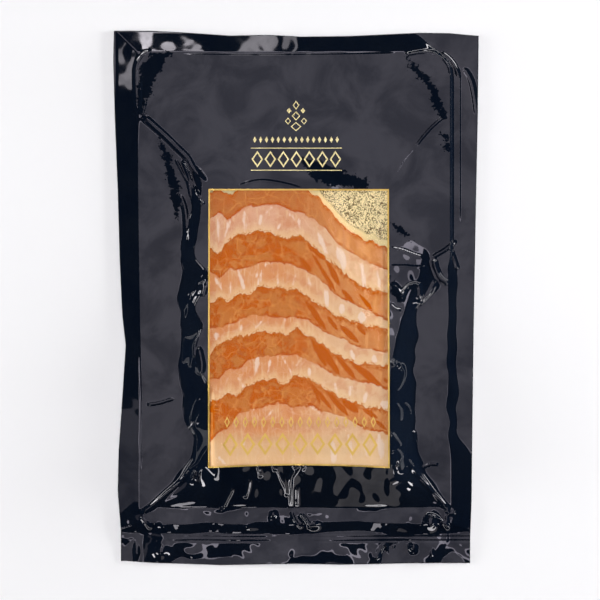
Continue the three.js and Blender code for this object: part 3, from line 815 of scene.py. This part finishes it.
# %% [markdown]
# ## The fish
# A slice of hot smoked salmon has a smoked rim, browned and orange, along its upper edge, and
# paler flesh below it, crossed by white lines of fat. Some flakes of the rim, most of them on
# the right, stand as dark orange petals. The mesh carries, at each point, the distance in
# millimetres to the rim's border, to the slice's edges, to the nearest fat line and to the
# nearest petal. The material makes each distance uneven with noise and turns it into a mask, so
# the marks stay crisp at any size. Each mask then lays one coat of colour over those before it.
# %% Noises and distances of the fish
class Fish(Finish):
    """The fish's material, with what its pale flesh and its smoked rim share."""

    def __init__(self):
        super().__init__("smoked_salmon")
        self.fine = self.noise(900, detail=4, roughness=0.6)
        self.middle = self.noise(260, detail=4, roughness=0.6)
        self.broad = self.noise(75, detail=4)
        self.grain = self.noise(700, detail=4, vector=self.stretched((1.0, 0.12, 1.0), 0.12))
        self.threads = self.cracks(130, 0.03)
        self.across = self.attribute("across")
        self.first = self.attribute("first")
        self.wobble = self.math("ADD", self.swing(self.middle, 1.7), self.swing(self.fine, 0.7))
        self.frayed = self.math("ADD", self.wobble, self.swing(self.grain, 2.5))
        self.fat = self.uneven("to_fat", self.frayed, 0.7)
        self.band = self.uneven("above_band", self.wobble)

    def uneven(self, distance, noise, share=1.0):
        """A distance that the mesh carries, with noise added to it."""
        return self.math("MULTIPLY_ADD", noise, share, self.attribute(distance))


# %% Pale flesh, with fibres, fat and threads, a paler creamy band above the next slice, and brown flecks at the next slice; on the last slice the paler part is a painted highlight
def pale_flesh(fish):
    clouds = fish.between(fish.broad, 0.35, 0.65)
    deeper = fish.mix(clouds, linear(211, 135, 80), linear(216, 153, 104))
    lighter = fish.mix(clouds, linear(211, 151, 113), linear(218, 165, 133))
    flecks = fish.uneven("above_next", fish.wobble, 1.3)
    at_next = fish.between(fish.attribute("above_next"), 2.0, 0.3)
    return fish.layers(fish.mix(fish.first, deeper, lighter), [
        (fish.across, 1, (220, 177, 137)),
        (fish.between(fish.grain, 0.5, 0.68), 0.6, (225, 185, 145)),
        (fish.between(fish.noise(180), 0.5, 0.62), 0.4, (205, 129, 86)),
        # A paler creamy band above the next slice's edge; on the last slice, a painted highlight of the
        # film over its lower part.
        (fish.attribute("cream_and_highlight"), 0.65, (234, 200, 152)),
        (fish.between(fish.fat, 0.5, -0.6), 0.8, (235, 209, 188)),
        (fish.threads, 0.22, (232, 198, 168)),
        (fish.between(flecks, 0.3, -0.1), 1, (196, 107, 17)),
        (fish.times(fish.between(fish.noise(1300), 0.54, 0.6), at_next), 1, (199, 114, 31)),
    ])


# %% Smoked rim, with outlined lobes, slanted streaks, a crust and dark petals
def smoked_rim(fish):
    lobes = fish.noise(115, detail=5, roughness=0.62, distortion=0.8)
    streaks = fish.between(fish.noise(380, vector=fish.stretched((1.0, 0.14, 1.0), 0.75)), 0.52, 0.64)
    border = fish.between(fish.near(fish.band, 0.4), 0.8, 0.2)
    gaps = fish.between(fish.noise(150), 0.38, 0.55)
    crust = fish.between(fish.uneven("below_edge", fish.wobble), 2.6, 0.6)
    petal = fish.uneven("to_petal", fish.wobble, 0.5)
    body = fish.between(fish.broad, 0.42, 0.58)
    return fish.layers(fish.mix(body, linear(189, 113, 50), linear(191, 107, 39)), [
        (fish.between(lobes, 0.5, 0.53), 1, (191, 91, 4)),
        (fish.between(fish.near(lobes, 0.5), 0.02, 0.006), 0.7, (172, 73, 4)),
        (fish.between(fish.middle, 0.52, 0.62), 1, (198, 120, 56)),
        (fish.first, 0.6, (183, 108, 55)),
        (fish.threads, 0.5, (218, 149, 77)),
        (fish.across, 0.65, (207, 140, 84)),
        (fish.times(streaks, fish.across), 1, (215, 147, 87)),
        (fish.times(border, gaps), 1, (180, 82, 9)),
        (fish.times(crust, fish.between(fish.fine, 0.4, 0.52)), 1, (183, 88, 7)),
        (fish.between(petal, 0.1, -0.5), 1, (184, 86, 0)),
        (fish.between(fish.fat, 0.2, -0.8), 0.6, (220, 151, 85)),
    ])


# %% The fish's finish: rim and flesh
def make_salmon():
    fish = Fish()
    in_rim = fish.between(fish.band, -0.35, 0.2)
    fish.set(Base_Color=fish.mix(in_rim, pale_flesh(fish), smoked_rim(fish)))
    fish.set(Roughness=0.55, Specular_IOR_Level=0.05)
    fish.bump(fish.math("MULTIPLY_ADD", fish.grain, 0.6, fish.fine), 0.25, 0.0004)
    return fish.material


# %% All the finishes
BLACK_FILM = make_black_film()
CLEAR_FILM = make_clear_film()
PRINT_ON_BLACK = make_gold_print("gold_print_on_black", (214, 197, 124), (249, 238, 182))
PRINT_ON_CLEAR = make_gold_print("gold_print_on_clear", (206, 165, 71), (240, 204, 110))
GOLD_CARD = make_gold_card()
SALMON = make_salmon()
print("finishes:", [material.name for material in bpy.data.materials])

# %% [markdown]
# ## The pouch's film
# The black front web surrounds the window, so it is made as four panels: one above the window,
# one below it and one on each side. Panels that meet share the same columns or rows of points,
# which leaves no gap between them. The outer rim of each panel is extruded down to make the
# flange's thin edge. The back web is a coarser grid, turned to face the table.
# %% Columns and rows of the front web
COLUMN_ENDS = [-GRID_HALF_WIDTH, WINDOW_LEFT, WINDOW_RIGHT, GRID_HALF_WIDTH]
COLUMN_CELLS = [120, 218, 113]
ROW_ENDS = [-GRID_HALF_HEIGHT, WINDOW_BOTTOM, WINDOW_TOP, GRID_HALF_HEIGHT]
ROW_CELLS = [123, 337, 196]
NEAR_OUTLINE = 0.1
RIM_FOOT = 0.02
print("cells of the front web:", sum(COLUMN_CELLS), "by", sum(ROW_CELLS))


def panel_grid(first_column, last_column, first_row, last_row):
    """A grid whose cells are counted, not measured: one unit is one cell of the whole web."""
    left, right = sum(COLUMN_CELLS[:first_column]), sum(COLUMN_CELLS[:last_column])
    bottom, top = sum(ROW_CELLS[:first_row]), sum(ROW_CELLS[:last_row])
    bm = bmesh.new()
    add_grid(bm, left, right, bottom, top, right - left, top - bottom)
    return bm


# %% The flange's thin edge, and where the web's points go
def cells_to_mm(column, row):
    column_marks = np.cumsum([0] + COLUMN_CELLS)
    row_marks = np.cumsum([0] + ROW_CELLS)
    return np.interp(column, column_marks, COLUMN_ENDS), np.interp(row, row_marks, ROW_ENDS)


def hang_rim(bm):
    """Extrude the edges along the pouch's outline down by one unit."""
    last_column, last_row = sum(COLUMN_CELLS), sum(ROW_CELLS)

    def on_outline(edge):
        x, y, _ = (edge.verts[0].co + edge.verts[1].co) / 2
        return min(x, last_column - x, y, last_row - y) < NEAR_OUTLINE

    def faces_inwards(face):
        x, y, _ = face.calc_center_median()
        return face.normal.x * (x - last_column / 2) + face.normal.y * (y - last_row / 2) < 0

    rim = [edge for edge in bm.edges if on_outline(edge)]
    made = bmesh.ops.extrude_edge_only(bm, edges=rim)["geom"]
    lower = [item for item in made if isinstance(item, bmesh.types.BMVert)]
    walls = [item for item in made if isinstance(item, bmesh.types.BMFace)]
    bmesh.ops.translate(bm, vec=(0, 0, -1), verts=lower)
    bm.normal_update()
    bmesh.ops.reverse_faces(bm, faces=[face for face in walls if faces_inwards(face)])


def place_front(column, row, z):
    x, y = cells_to_mm(column, row)
    x, y = to_outline(x, drawn_in(x, y))
    return x, y, np.where(z < -0.5, RIM_FOOT, film_height(x, y))


# %% Points and values on a finished piece, and a distance in mm that stands for far away
FAR = 30.0


def points_of(piece):
    flat = np.empty(len(piece.data.vertices) * 3)
    piece.data.vertices.foreach_get("co", flat)
    return (flat.reshape(-1, 3) / MM).T


def store(piece, name, values):
    attribute = piece.data.attributes.new(name, "FLOAT", "POINT")
    attribute.data.foreach_set("value", np.asarray(values, dtype=np.float32))


# %% Patches of painted shade, where the gloss is taken away to darken the film: a line through each one and its half widths
PAINTED_SHADE_PATCHES = [
    ([(-61, 119.5), (-67, 116.5), (-71.5, 111), (-73.2, 104), (-74.8, 97), (-75.6, 90)],
     [1.2, 3.2, 4.6, 3.6, 2.2, 1.2]),
    ([(54, 116.5), (58, 112), (62.5, 107.5), (67, 101), (69, 94), (71.5, 90)], [1, 1.4, 1.8, 1.4, 2, 1.6]),
    ([(72.5, 80), (73.5, 73)], [1, 1]),
    ([(-66.5, 77), (-63, 68), (-61, 60), (-58, 47), (-58, 38)], [0.5, 1.8, 2.6, 2.4, 0.5]),
    ([(3, 67), (10, 62.5), (19, 59), (33, 55.5)], [1.5, 4, 4.6, 2.4]),
    ([(47, 36), (51, 33), (56, 28)], [0.8, 1.4, 0.4]),
    ([(45.5, 8), (48, 4), (50.5, -1)], [1.5, 2.5, 1]),
]
print("slack patches:", len(PAINTED_SHADE_PATCHES))


def distance_to_painted_shade(x, y):
    nearest = np.full_like(x, FAR)
    for points, widths in PAINTED_SHADE_PATCHES:
        gap, share = distance_to_line(x, y, points)
        nearest = np.minimum(nearest, gap - np.interp(share, np.linspace(0, 1, len(widths)), widths))
    return nearest


# %% Front web
FRONT_PANELS = [
    ("front_web_upper", (0, 3, 2, 3)),
    ("front_web_lower", (0, 3, 0, 1)),
    ("front_web_left", (0, 1, 1, 2)),
    ("front_web_right", (2, 3, 1, 2)),
]
for web_name, part in FRONT_PANELS:
    web = panel_grid(*part)
    hang_rim(web)
    web_piece = finish_piece(web_name, web, BLACK_FILM, place_front, replaces=["pouch"])
    web_x, web_y, _ = points_of(web_piece)
    # Distance to the patches of painted shade, which the film's material reads.
    store(web_piece, "to_painted_shade", distance_to_painted_shade(web_x, web_y))

# %% Back web
BACK_SPACING = 3.0


def place_back(x, y, z):
    x, y = to_outline(x, y)
    return x, y, np.zeros_like(x)


back = bmesh.new()
add_cells(back, -GRID_HALF_WIDTH, GRID_HALF_WIDTH, -GRID_HALF_HEIGHT, GRID_HALF_HEIGHT, BACK_SPACING)
bmesh.ops.reverse_faces(back, faces=back.faces)
back_piece = finish_piece("back_web", back, BLACK_FILM, place_back, replaces=["pouch"])
store(back_piece, "to_painted_shade", np.full(len(back_piece.data.vertices), FAR))

# %% [markdown]
# ## The window
# The clear panel is the middle part of the same grid, so its edge meets the black film all
# round. A fine line of gold print runs over the joint on every side.
# %% Clear panel
panel = panel_grid(1, 2, 1, 2)
finish_piece("window_film", panel, CLEAR_FILM, place_front, replaces=["window"])

# %% Gold line round the window
LINE_WIDTH = 0.75
PRINT_LIFT = 0.04
PRINT_CELL = 0.7


def place_print(x, y, z):
    y = drawn_in(x, y)
    return x, y, film_height(x, y) + PRINT_LIFT


half_line = LINE_WIDTH / 2
border = bmesh.new()
for level in (WINDOW_BOTTOM, WINDOW_TOP):
    add_cells(border, WINDOW_LEFT - half_line, WINDOW_RIGHT + half_line,
              level - half_line, level + half_line, PRINT_CELL)
for side in (WINDOW_LEFT, WINDOW_RIGHT):
    add_cells(border, side - half_line, side + half_line,
              WINDOW_BOTTOM + half_line, WINDOW_TOP - half_line, PRINT_CELL)
finish_piece("window_line", border, PRINT_ON_CLEAR, place_print)

# %% [markdown]
# ## The printed ornaments
# Plain lozenges and rules of gold print stand above the window and over its lower part. Each
# lozenge is a circle of four corners, inset and opened, then subdivided so that it can follow
# the film.
# %% Lozenges and rules
def add_lozenge(bm, x, y, width, height, line=0.0):
    made = bmesh.ops.create_circle(bm, cap_ends=True, radius=0.5, segments=4)
    corners = made["verts"]
    bmesh.ops.scale(bm, vec=(width, height, 1), verts=corners)
    bmesh.ops.translate(bm, vec=(x, y, 0), verts=corners)
    face = corners[0].link_faces[0]
    if line:
        bmesh.ops.inset_region(bm, faces=[face], thickness=line, use_even_offset=True, use_boundary=True)
        bmesh.ops.delete(bm, geom=[face], context="FACES")


def add_chain(bm, left, right, y, count, width, height, line=0.0):
    for index in range(count):
        x = left + (right - left) * (index + 0.5) / count
        add_lozenge(bm, x, y, width, height, line)


def finish_print(name, bm, gold):
    bmesh.ops.subdivide_edges(bm, edges=bm.edges, cuts=3, use_grid_fill=True)
    bm.normal_update()
    bmesh.ops.reverse_faces(bm, faces=[face for face in bm.faces if face.normal.z < 0])
    finish_piece(name, bm, gold, place_print)


upper = bmesh.new()
for turn in range(3):
    add_lozenge(upper, 0, 83.5 + 5.2 * turn, 5.2 - turn, 4.6, 0.45)
for side in (-1, 1):
    add_lozenge(upper, side * 3.9, 86.2, 3.0, 3.4, 0.4)
    add_lozenge(upper, side * 3.4, 91.2, 2.2, 2.8)
add_chain(upper, -21.5, 21.5, 77.1, 15, 1.7, 3.2)
add_chain(upper, -22, 22.4, 67.6, 7, 5.6, 8.2, 0.7)
finish_print("upper_ornament", upper, PRINT_ON_BLACK)

half_rule = 0.2
rules = bmesh.new()
for level in (62.2, 73.0):
    add_cells(rules, -22, 22.4, level - half_rule, level + half_rule, PRINT_CELL)
finish_piece("upper_rules", rules, PRINT_ON_BLACK, place_print)

lower = bmesh.new()
add_chain(lower, -35.5, 39.6, -60.0, 17, 2.6, 5.6, 0.5)
add_chain(lower, -36, 40, -71.2, 9, 7.4, 12.0, 1.1)
finish_print("lower_ornament", lower, PRINT_ON_CLEAR)

# %% [markdown]
# ## The card
# The card is a thin board with rounded corners. One square is scaled to size, its four corner
# points are bevelled round, and it is extruded to its thickness. It is cut into a grid because
# its material needs the distance to the first slice at every point. That distance is measured
# straight down the pack, so it is shortened by how much the slice's edge slants.
# %% Gold card
CARD_STEP = 3.0
FIRST_SLANT = 0.8


def place_card(x, y, z):
    return x, y, FILM + CLEARANCE + z


def cut_across(bm, first, last, axis):
    """Cut a flat board along evenly spaced straight lines."""
    direction = [0, 0, 0]
    direction[axis] = 1
    for index in range(1, int((last - first) / CARD_STEP)):
        point = [0, 0, 0]
        point[axis] = first + index * CARD_STEP
        everything = bm.verts[:] + bm.edges[:] + bm.faces[:]
        bmesh.ops.bisect_plane(bm, geom=everything, dist=1e-5, plane_co=point, plane_no=direction)


card = bmesh.new()
add_grid(card, CARD_LEFT, CARD_RIGHT, CARD_BOTTOM, CARD_TOP_EDGE, 1, 1)
bmesh.ops.bevel(card, geom=card.verts[:], offset=CARD_RADIUS, offset_type="OFFSET", segments=10,
                profile=0.5, affect="VERTICES", material=-1)
cut_across(card, CARD_LEFT, CARD_RIGHT, 0)
cut_across(card, CARD_BOTTOM, CARD_TOP_EDGE, 1)
thicken(card, CARD_THICKNESS)
card_piece = finish_piece("gold_card_board", card, GOLD_CARD, place_card, replaces=["card"])
for polygon in card_piece.data.polygons:
    polygon.use_smooth = False
card_x, card_y, _ = points_of(card_piece)
store(card_piece, "past_slice", (card_y - slice_edge(0, card_x)) * FIRST_SLANT)

# %% [markdown]
# ## The slices
# Each slice is a slab of unit size: a grid across and down the slice, extruded once. Its points
# are then placed: across the stack, down from the slice's upper edge, and between the slice
# below and the film or the slice above. The hidden lower part gets fewer rows than the part
# that shows.
# %% Marks in the flesh of each slice: where each line starts and ends, and its width
PETALS = [
    [],
    [(1.7, 19.6, 7.6, 12.5, 3.0), (5.9, 25.5, 14.7, 18.4, 3.0), (14.7, 18.4, 21.2, 6.0, 3.3),
     (7.6, 22, 19.5, 2.5, 2.6), (22.4, 4.2, 28.3, -3.1, 2.8), (30.7, 1.9, 37.2, -6.4, 2.7),
     (-14.8, 28.5, -11.3, 27.9, 3.3)],
    [(4.7, -1.1, 14.7, -15.7, 3.4), (15.3, -8.8, 20.1, -15.7, 2.7), (-39.1, -4, -37.6, -13.5, 1.2),
     (21.2, -13.2, 30.7, -22.1, 3.3), (29.5, -13.2, 33.7, -17.9, 2.4)],
    [(7.6, -20.3, 14.7, -33.3, 3.0), (10, -20.9, 21.2, -37.4, 3.8), (19.5, -28, 28.9, -39.2, 3.1),
     (26, -30.3, 41.9, -43.4, 3.9), (42.5, -38.6, 44.3, -41, 1.8)],
    [(7.6, -41, 11.8, -51.6, 2.0), (8.8, -42.8, 17.7, -54.6, 2.7), (15.9, -46.3, 25.4, -57, 3.2),
     (22.4, -49.3, 30.1, -55.2, 4.2), (31.9, -53.4, 39.6, -58.1, 2.7), (38.4, -59.3, 44.3, -64.1, 2.2),
     (-40, -51, -39.7, -64, 1.2), (-34.6, -48.7, -32.6, -53.4, 0.8)],
]
FAT_LINES = [
    [(-38.2, 38, -37.6, 26.7, 1.7), (-32.3, 37.4, -34.6, 29.7, 0.9), (-24.9, 41.5, -25, 32, 1.4),
     (-16.6, 40.3, -17.8, 36.2, 1.4), (-11.6, 44.2, -14.8, 41.2, 0.7), (-6.6, 36.8, -8.9, 33.8, 1.4),
     (-3, 40.9, 0.5, 36.8, 0.5), (1.1, 38, 2.3, 32.6, 0.8), (10.6, 32, 14.7, 21.4, 2.1),
     (20.3, 24.4, 23.6, 14.3, 3.3), (31.9, 16.7, 33.7, 4.2, 2.2), (39.6, 13.7, 40.7, 4.8, 1.1)],
    [(-39.1, 9.6, -36.1, 4.2, 1.7), (-28.1, 13.7, -25.2, 4.8, 1.7), (-31.7, 7.8, -31.7, 1.9, 0.7),
     (-18.4, 13.7, -19.3, 10.2, 0.9), (-11.3, 17.3, -15.4, 15.8, 0.5), (-16.6, 13.7, -18.4, 6, 0.5),
     (-8.9, 11.3, -8.9, 6.6, 0.7), (0.5, 14.3, -1.5, 5.4, 0.7), (5.9, 10.8, 7, 6, 1.4),
     (13.8, 4.2, 15.3, -4, 2.2), (22.4, -2.8, 23, -7.6, 2.0), (31.9, -7, 31.9, -11.7, 4.1)],
    [(-32, -9.4, -31.7, -12.9, 2.2), (-39.1, -16.7, -38.8, -19.7, 2.2), (-26.7, -13.2, -27.3, -16.2, 0.9),
     (-16, -10.5, -19, -14.1, 0.6), (-5.4, -9.4, -6.6, -15.3, 0.7), (26.6, -25.6, 28.3, -29.8, 1.8),
     (37.2, -28, 39, -31.5, 3.5)],
    [(-18.4, -28, -20.2, -38, 2.0), (-33.2, -39.2, -34.3, -42.8, 0.5), (-27.8, -38.6, -24.9, -43.9, 0.5),
     (-12.5, -30.3, -13.9, -36.9, 0.5), (-6.6, -28.6, -1.8, -36.9, 0.6), (2.3, -29.2, 0.5, -32.7, 0.6),
     (6.7, -34.5, 6.7, -36.9, 0.8), (18.9, -41, 20.1, -46.3, 0.9), (26, -42.2, 26.6, -47.5, 1.3),
     (33.7, -46.3, 33.1, -51, 1.8), (41.9, -49.9, 43.1, -53.4, 4.1), (-20.7, -46.3, -17.8, -41.6, 1.8)],
    [(-19, -48.7, -20.7, -54, 2.0), (-14.8, -48.7, -19, -49.3, 0.8), (-3.6, -46.3, -1.2, -57, 0.9),
     (-8.9, -52.2, -14.8, -58.1, 0.5), (4.7, -51, 12.4, -56.4, 0.6), (-26.1, -65.2, -25.5, -72.3, 0.7),
     (17.7, -69.4, 18.3, -79.4, 3.0), (25.4, -66.4, 27.1, -78.2, 1.7), (32.5, -68.8, 34.8, -78.2, 1.1),
     (40.2, -66.4, 41.3, -77.1, 2.8), (-39.7, -74.7, -33.8, -80.6, 0.6)],
]
print("petals and fat lines:", sum(map(len, PETALS)), sum(map(len, FAT_LINES)))

# %% Distance to the marks
BLUNT = 0.04


def distance_to_marks(x, y, marks):
    """Distance to the nearest mark's rim, negative inside it. A mark tapers to its ends."""
    nearest = np.full_like(x, FAR)
    for start_x, start_y, end_x, end_y, width in marks:
        gap, share = distance_to_line(x, y, [(start_x, start_y), (end_x, end_y)])
        radius = width / 2 * np.sqrt(np.clip(4 * share * (1 - share), BLUNT, 1))
        nearest = np.minimum(nearest, gap - radius)
    return nearest


# %% Shape of one slice
ACROSS_CELLS, DOWN_CELLS, SHOWN_CELLS = 230, 96, 80
LAST_SHOWN = 0.998
SLICE_INSET = 4.5
SIDE_FROM, SIDE_OVER = 46.0, 8.0
SLICE_GAP = 0.15
RIM_DROP, RIM_SHARE, RIM_STEPS = 0.12, 0.3, 0.04


def share_below(steps):
    """Share of the room under the film that the slices underneath take up."""
    return EDGE_PRESS * np.clip(1 - steps / OVERLAP, 0, 1)


def place_slice(index):
    def place(x, y, z):
        row = (1 - y) * DOWN_CELLS
        hidden = (row - SHOWN_CELLS) / (DOWN_CELLS - SHOWN_CELLS)
        shown = LAST_SHOWN * row / (SHOWN_CELLS - 1)
        is_hidden = row > SHOWN_CELLS - 0.5
        steps = np.where(is_hidden, 1 + (OVERLAP - 1) * hidden, shown)
        across = EDGE_PLACES[0] + (EDGE_PLACES[-1] - EDGE_PLACES[0]) * x
        first, second, third = [slice_edge(index + step, across) for step in range(3)]
        upper = first + (second - first) * steps
        lower = second + (third - second) * (steps - 1)
        py = np.where(steps <= 1, upper, lower)
        left = smooth_curve(LEFT_CLIMB[0], LEFT_CLIMB[1], py) + SLICE_INSET
        right = smooth_curve(RIGHT_CLIMB[0], RIGHT_CLIMB[1], py) - SLICE_INSET
        to_side = ease((np.abs(across) - SIDE_FROM) / SIDE_OVER)
        px = across + (left + (right - left) * x - across) * to_side
        room = calm_film(px, py) - FILM - STACK_FLOOR
        rim = np.minimum(RIM_DROP, RIM_SHARE * room) * (1 - np.sqrt(np.clip(steps / RIM_STEPS, 0, 1)))
        top = STACK_FLOOR + room - SLICE_GAP - rim
        if index < SLICES - 1:
            covered = STACK_FLOOR + room * share_below(steps - 1) - SLICE_GAP
            top = top + (covered - top) * is_hidden
        bottom = STACK_FLOOR + (0 if index == 0 else room * share_below(steps))
        return px, py, np.where(z > 0.5, top, bottom)
    return place


# %% The five slices
CREASE = math.radians(40)
EDGE_SLANT = 0.85
ACROSS_FROM, ACROSS_OVER = -5.0, 30.0
CREAM_AND_HIGHLIGHT_WIDTH = 5.0
PAINTED_HIGHLIGHT_FROM = -62.0


def build_slice(index):
    slab = bmesh.new()
    add_grid(slab, 0, 1, 0, 1, ACROSS_CELLS, DOWN_CELLS)
    thicken(slab, 1)
    piece = finish_piece(f"salmon_slice_{index + 1}", slab, SALMON, place_slice(index),
                         replaces=[f"slice_{index + 1}"])
    piece.data.set_sharp_from_angle(angle=CREASE)
    is_last = index == SLICES - 1
    x, y, _ = points_of(piece)
    above_next = (y - slice_edge(index + 1, x)) * EDGE_SLANT
    # Last slice: its lower part is made paler as a painted highlight of the film mirroring light; on the
    # others, a creamy band above the next slice's edge.
    cream_and_highlight = (PAINTED_HIGHLIGHT_FROM - y) / 2 if is_last else CREAM_AND_HIGHLIGHT_WIDTH - above_next
    store(piece, "across", ease((x - ACROSS_FROM) / ACROSS_OVER))
    store(piece, "first", np.full_like(x, index == 0))
    store(piece, "above_next", np.full_like(x, FAR) if is_last else above_next)
    store(piece, "cream_and_highlight", ease(cream_and_highlight / CREAM_AND_HIGHLIGHT_WIDTH))
    store(piece, "above_band", (y - smooth_curve(BAND_PLACES, BAND_LINES[index], x)) * EDGE_SLANT)
    store(piece, "below_edge", (slice_edge(index, x) - y) * EDGE_SLANT)
    store(piece, "to_petal", distance_to_marks(x, y, PETALS[index]))
    store(piece, "to_fat", distance_to_marks(x, y, FAT_LINES[index]))


for number in range(SLICES):
    build_slice(number)

# %% [markdown]
# ## The studio
# The pack lies on white. Glossy film shows nothing but what it mirrors, so two kinds of light
# are used: soft lights that only brighten, and panels that are also seen in the film. A wide dim
# panel overhead greys the level film. It is a little dimmer to the south, and its bright rim
# draws a thin light line along every slope. Small bright panels farther out are each mirrored by
# one slope alone. All else is dark to the film, which blackens the slopes, except for narrow
# bright bands in the sky that line the folds.
# %% Floor
FLOOR_HALF = 4.0
FLOOR_DROP = 0.0002

floor_bm = bmesh.new()
add_grid(floor_bm, -FLOOR_HALF, FLOOR_HALF, -FLOOR_HALF, FLOOR_HALF, 1, 1)
bmesh.ops.translate(floor_bm, vec=(0, 0, -FLOOR_DROP), verts=floor_bm.verts)
floor_mesh = bpy.data.meshes.new("studio_floor")
floor_bm.to_mesh(floor_mesh)
floor_bm.free()
floor = bpy.data.objects.new("studio_floor", floor_mesh)
scene.collection.objects.link(floor)
floor_finish = Finish("white_floor")
floor_finish.set(Base_Color=(0.94, 0.94, 0.94, 1), Roughness=0.9, Specular_IOR_Level=0.1)
floor_mesh.materials.append(floor_finish.material)


# %% A light
def add_panel(name, place, size, radiance, tint=(1, 1, 1), mirrored=True, aim=(0, 0)):
    """An area light that faces a point, set by how bright it looks rather than by its watts."""
    data = bpy.data.lights.new(name, "AREA")
    data.shape = "RECTANGLE"
    data.size, data.size_y = size
    data.energy = radiance * math.pi * size[0] * size[1]
    data.color = tint
    light = bpy.data.objects.new(name, data)
    light.location = place
    towards = Vector((aim[0], aim[1], 0)) - Vector(place)
    light.rotation_euler = towards.to_track_quat("-Z", "Y").to_euler()
    light.visible_camera = False
    light.visible_glossy = mirrored
    scene.collection.objects.link(light)


def add_overhead(name, west, east, south, north, radiance, tint):
    """A level panel overhead that faces straight down."""
    middle = ((west + east) / 2, (south + north) / 2)
    add_panel(name, (*middle, PANEL_HEIGHT), (east - west, north - south), radiance, tint, aim=middle)


# %% Lights overhead: name, west, east, south and north end, brightness and tint
PANEL_HEIGHT = 1.8
WEST, EAST, SOUTH, NORTH = -0.38, 0.4, -0.46, 0.65
DIM_FROM, DIMMEST_FROM = -0.1, -0.17
RIM, RIM_RADIANCE = 0.04, 4.5
GREY_TINT = (1.0, 0.94, 1.1)
GLOW_TINT = (1.0, 0.95, 1.03)
OVERHEAD = [
    ("overhead_panel", WEST, EAST, DIM_FROM, NORTH, 1.06, GREY_TINT),
    ("overhead_dimmer", WEST, EAST, DIMMEST_FROM, DIM_FROM, 0.96, GREY_TINT),
    ("overhead_dimmest", WEST, EAST, SOUTH, DIMMEST_FROM, 0.86, GREY_TINT),
    ("north_rim", WEST, EAST, NORTH, NORTH + RIM, RIM_RADIANCE, GREY_TINT),
    ("south_rim", WEST, EAST, SOUTH - RIM, SOUTH, RIM_RADIANCE, GREY_TINT),
    ("west_rim", WEST - RIM, WEST, SOUTH, NORTH, RIM_RADIANCE, GREY_TINT),
    ("east_rim", EAST, EAST + RIM, SOUTH, NORTH, RIM_RADIANCE, GREY_TINT),
    ("corner_glow", -0.195, -0.172, 0.71, 0.84, 14.0, GLOW_TINT),
    ("corner_glow_end", -0.172, -0.142, 0.72, 0.759, 9.0, GLOW_TINT),
    ("left_corner_glow", -0.72, -0.668, 0.262, 0.305, 4.0, GLOW_TINT),
    ("left_flange_glow", -1.1, -0.46, -0.26, -0.14, 0.5, GREY_TINT),
    ("top_glow_west", -0.054, -0.036, 0.71, 0.8, 4.5, GLOW_TINT),
    ("top_glow_east", -0.016, -0.002, 0.71, 0.8, 4.5, GLOW_TINT),
    ("south_box", -0.24, -0.14, -1.35, -0.95, 6.0, (1.0, 0.96, 1.04)),
    ("apron_glow", 0.09, 1.7, -3.2, -2.2, 0.9, (1.0, 0.94, 0.96)),
]
for overhead in OVERHEAD:
    add_overhead(*overhead)
print("lights overhead:", len(OVERHEAD))

# %% Lights that the film doesn't mirror
add_panel("soft_fill", (0.1, 0.1, 1.5), (1.6, 1.6), 2.05, mirrored=False)
add_panel("right_fill", (1.2, 0.2, 0.14), (0.5, 0.24), 72.0, mirrored=False)
add_panel("left_fill", (-1.2, 0.0, 0.14), (0.5, 0.24), 42.0, mirrored=False)
print("lights in all:", len(bpy.data.lights))

# %% Sky: plain to the camera, and dark but for narrow bands to the film
SIDE_SHADE, SOUTH_SHADE, SOUTH_ONLY = 0.45, -1.2, -0.7
SKY_FLOOR = 0.01

world = bpy.data.worlds.new("studio")
world.use_nodes = True
scene.world = world
sky = Nodes(world.node_tree)


def sky_band(height, middle, half, glow):
    """Light between two heights in the sky, where 1 is straight overhead and 0 the horizon."""
    return sky.times(sky.math("LESS_THAN", sky.near(height, middle), half), glow)


direction = sky.add("TexCoord").outputs["Generated"]
east, north, up = sky.add("SeparateXYZ", direction).outputs
bands = sky.math("ADD", sky_band(up, 0.74, 0.024, 16.0), sky_band(up, 0.36, 0.022, 16.0))
sideways = sky.math("ABSOLUTE", east)
not_side = sky.math("GREATER_THAN", sky.math("ABSOLUTE", north), sky.times(sideways, SIDE_SHADE))
not_south = sky.math("GREATER_THAN", north, sky.times(sideways, SOUTH_SHADE))
to_south = sky.math("LESS_THAN", north, SOUTH_ONLY)
high_glow = sky.times(bands, sky.times(not_side, not_south))
glow = sky.math("ADD", high_glow, sky.times(sky_band(up, 0.455, 0.025, 10.0), to_south))
ray = sky.add("LightPath")
strength = sky.math("ADD", sky.times(glow, ray.outputs["Is Glossy Ray"]), SKY_FLOOR)
mirrored_sky = sky.add("Background", (1, 0.97, 1, 1), strength)
plain_sky = sky.add("Background", (0.9, 0.9, 0.92, 1), 1.0)
choose = sky.add("MixShader", ray.outputs["Is Camera Ray"], mirrored_sky.outputs[0], plain_sky.outputs[0])
sky.add("OutputWorld", choose.outputs[0])
scene.view_settings.view_transform = "Standard"
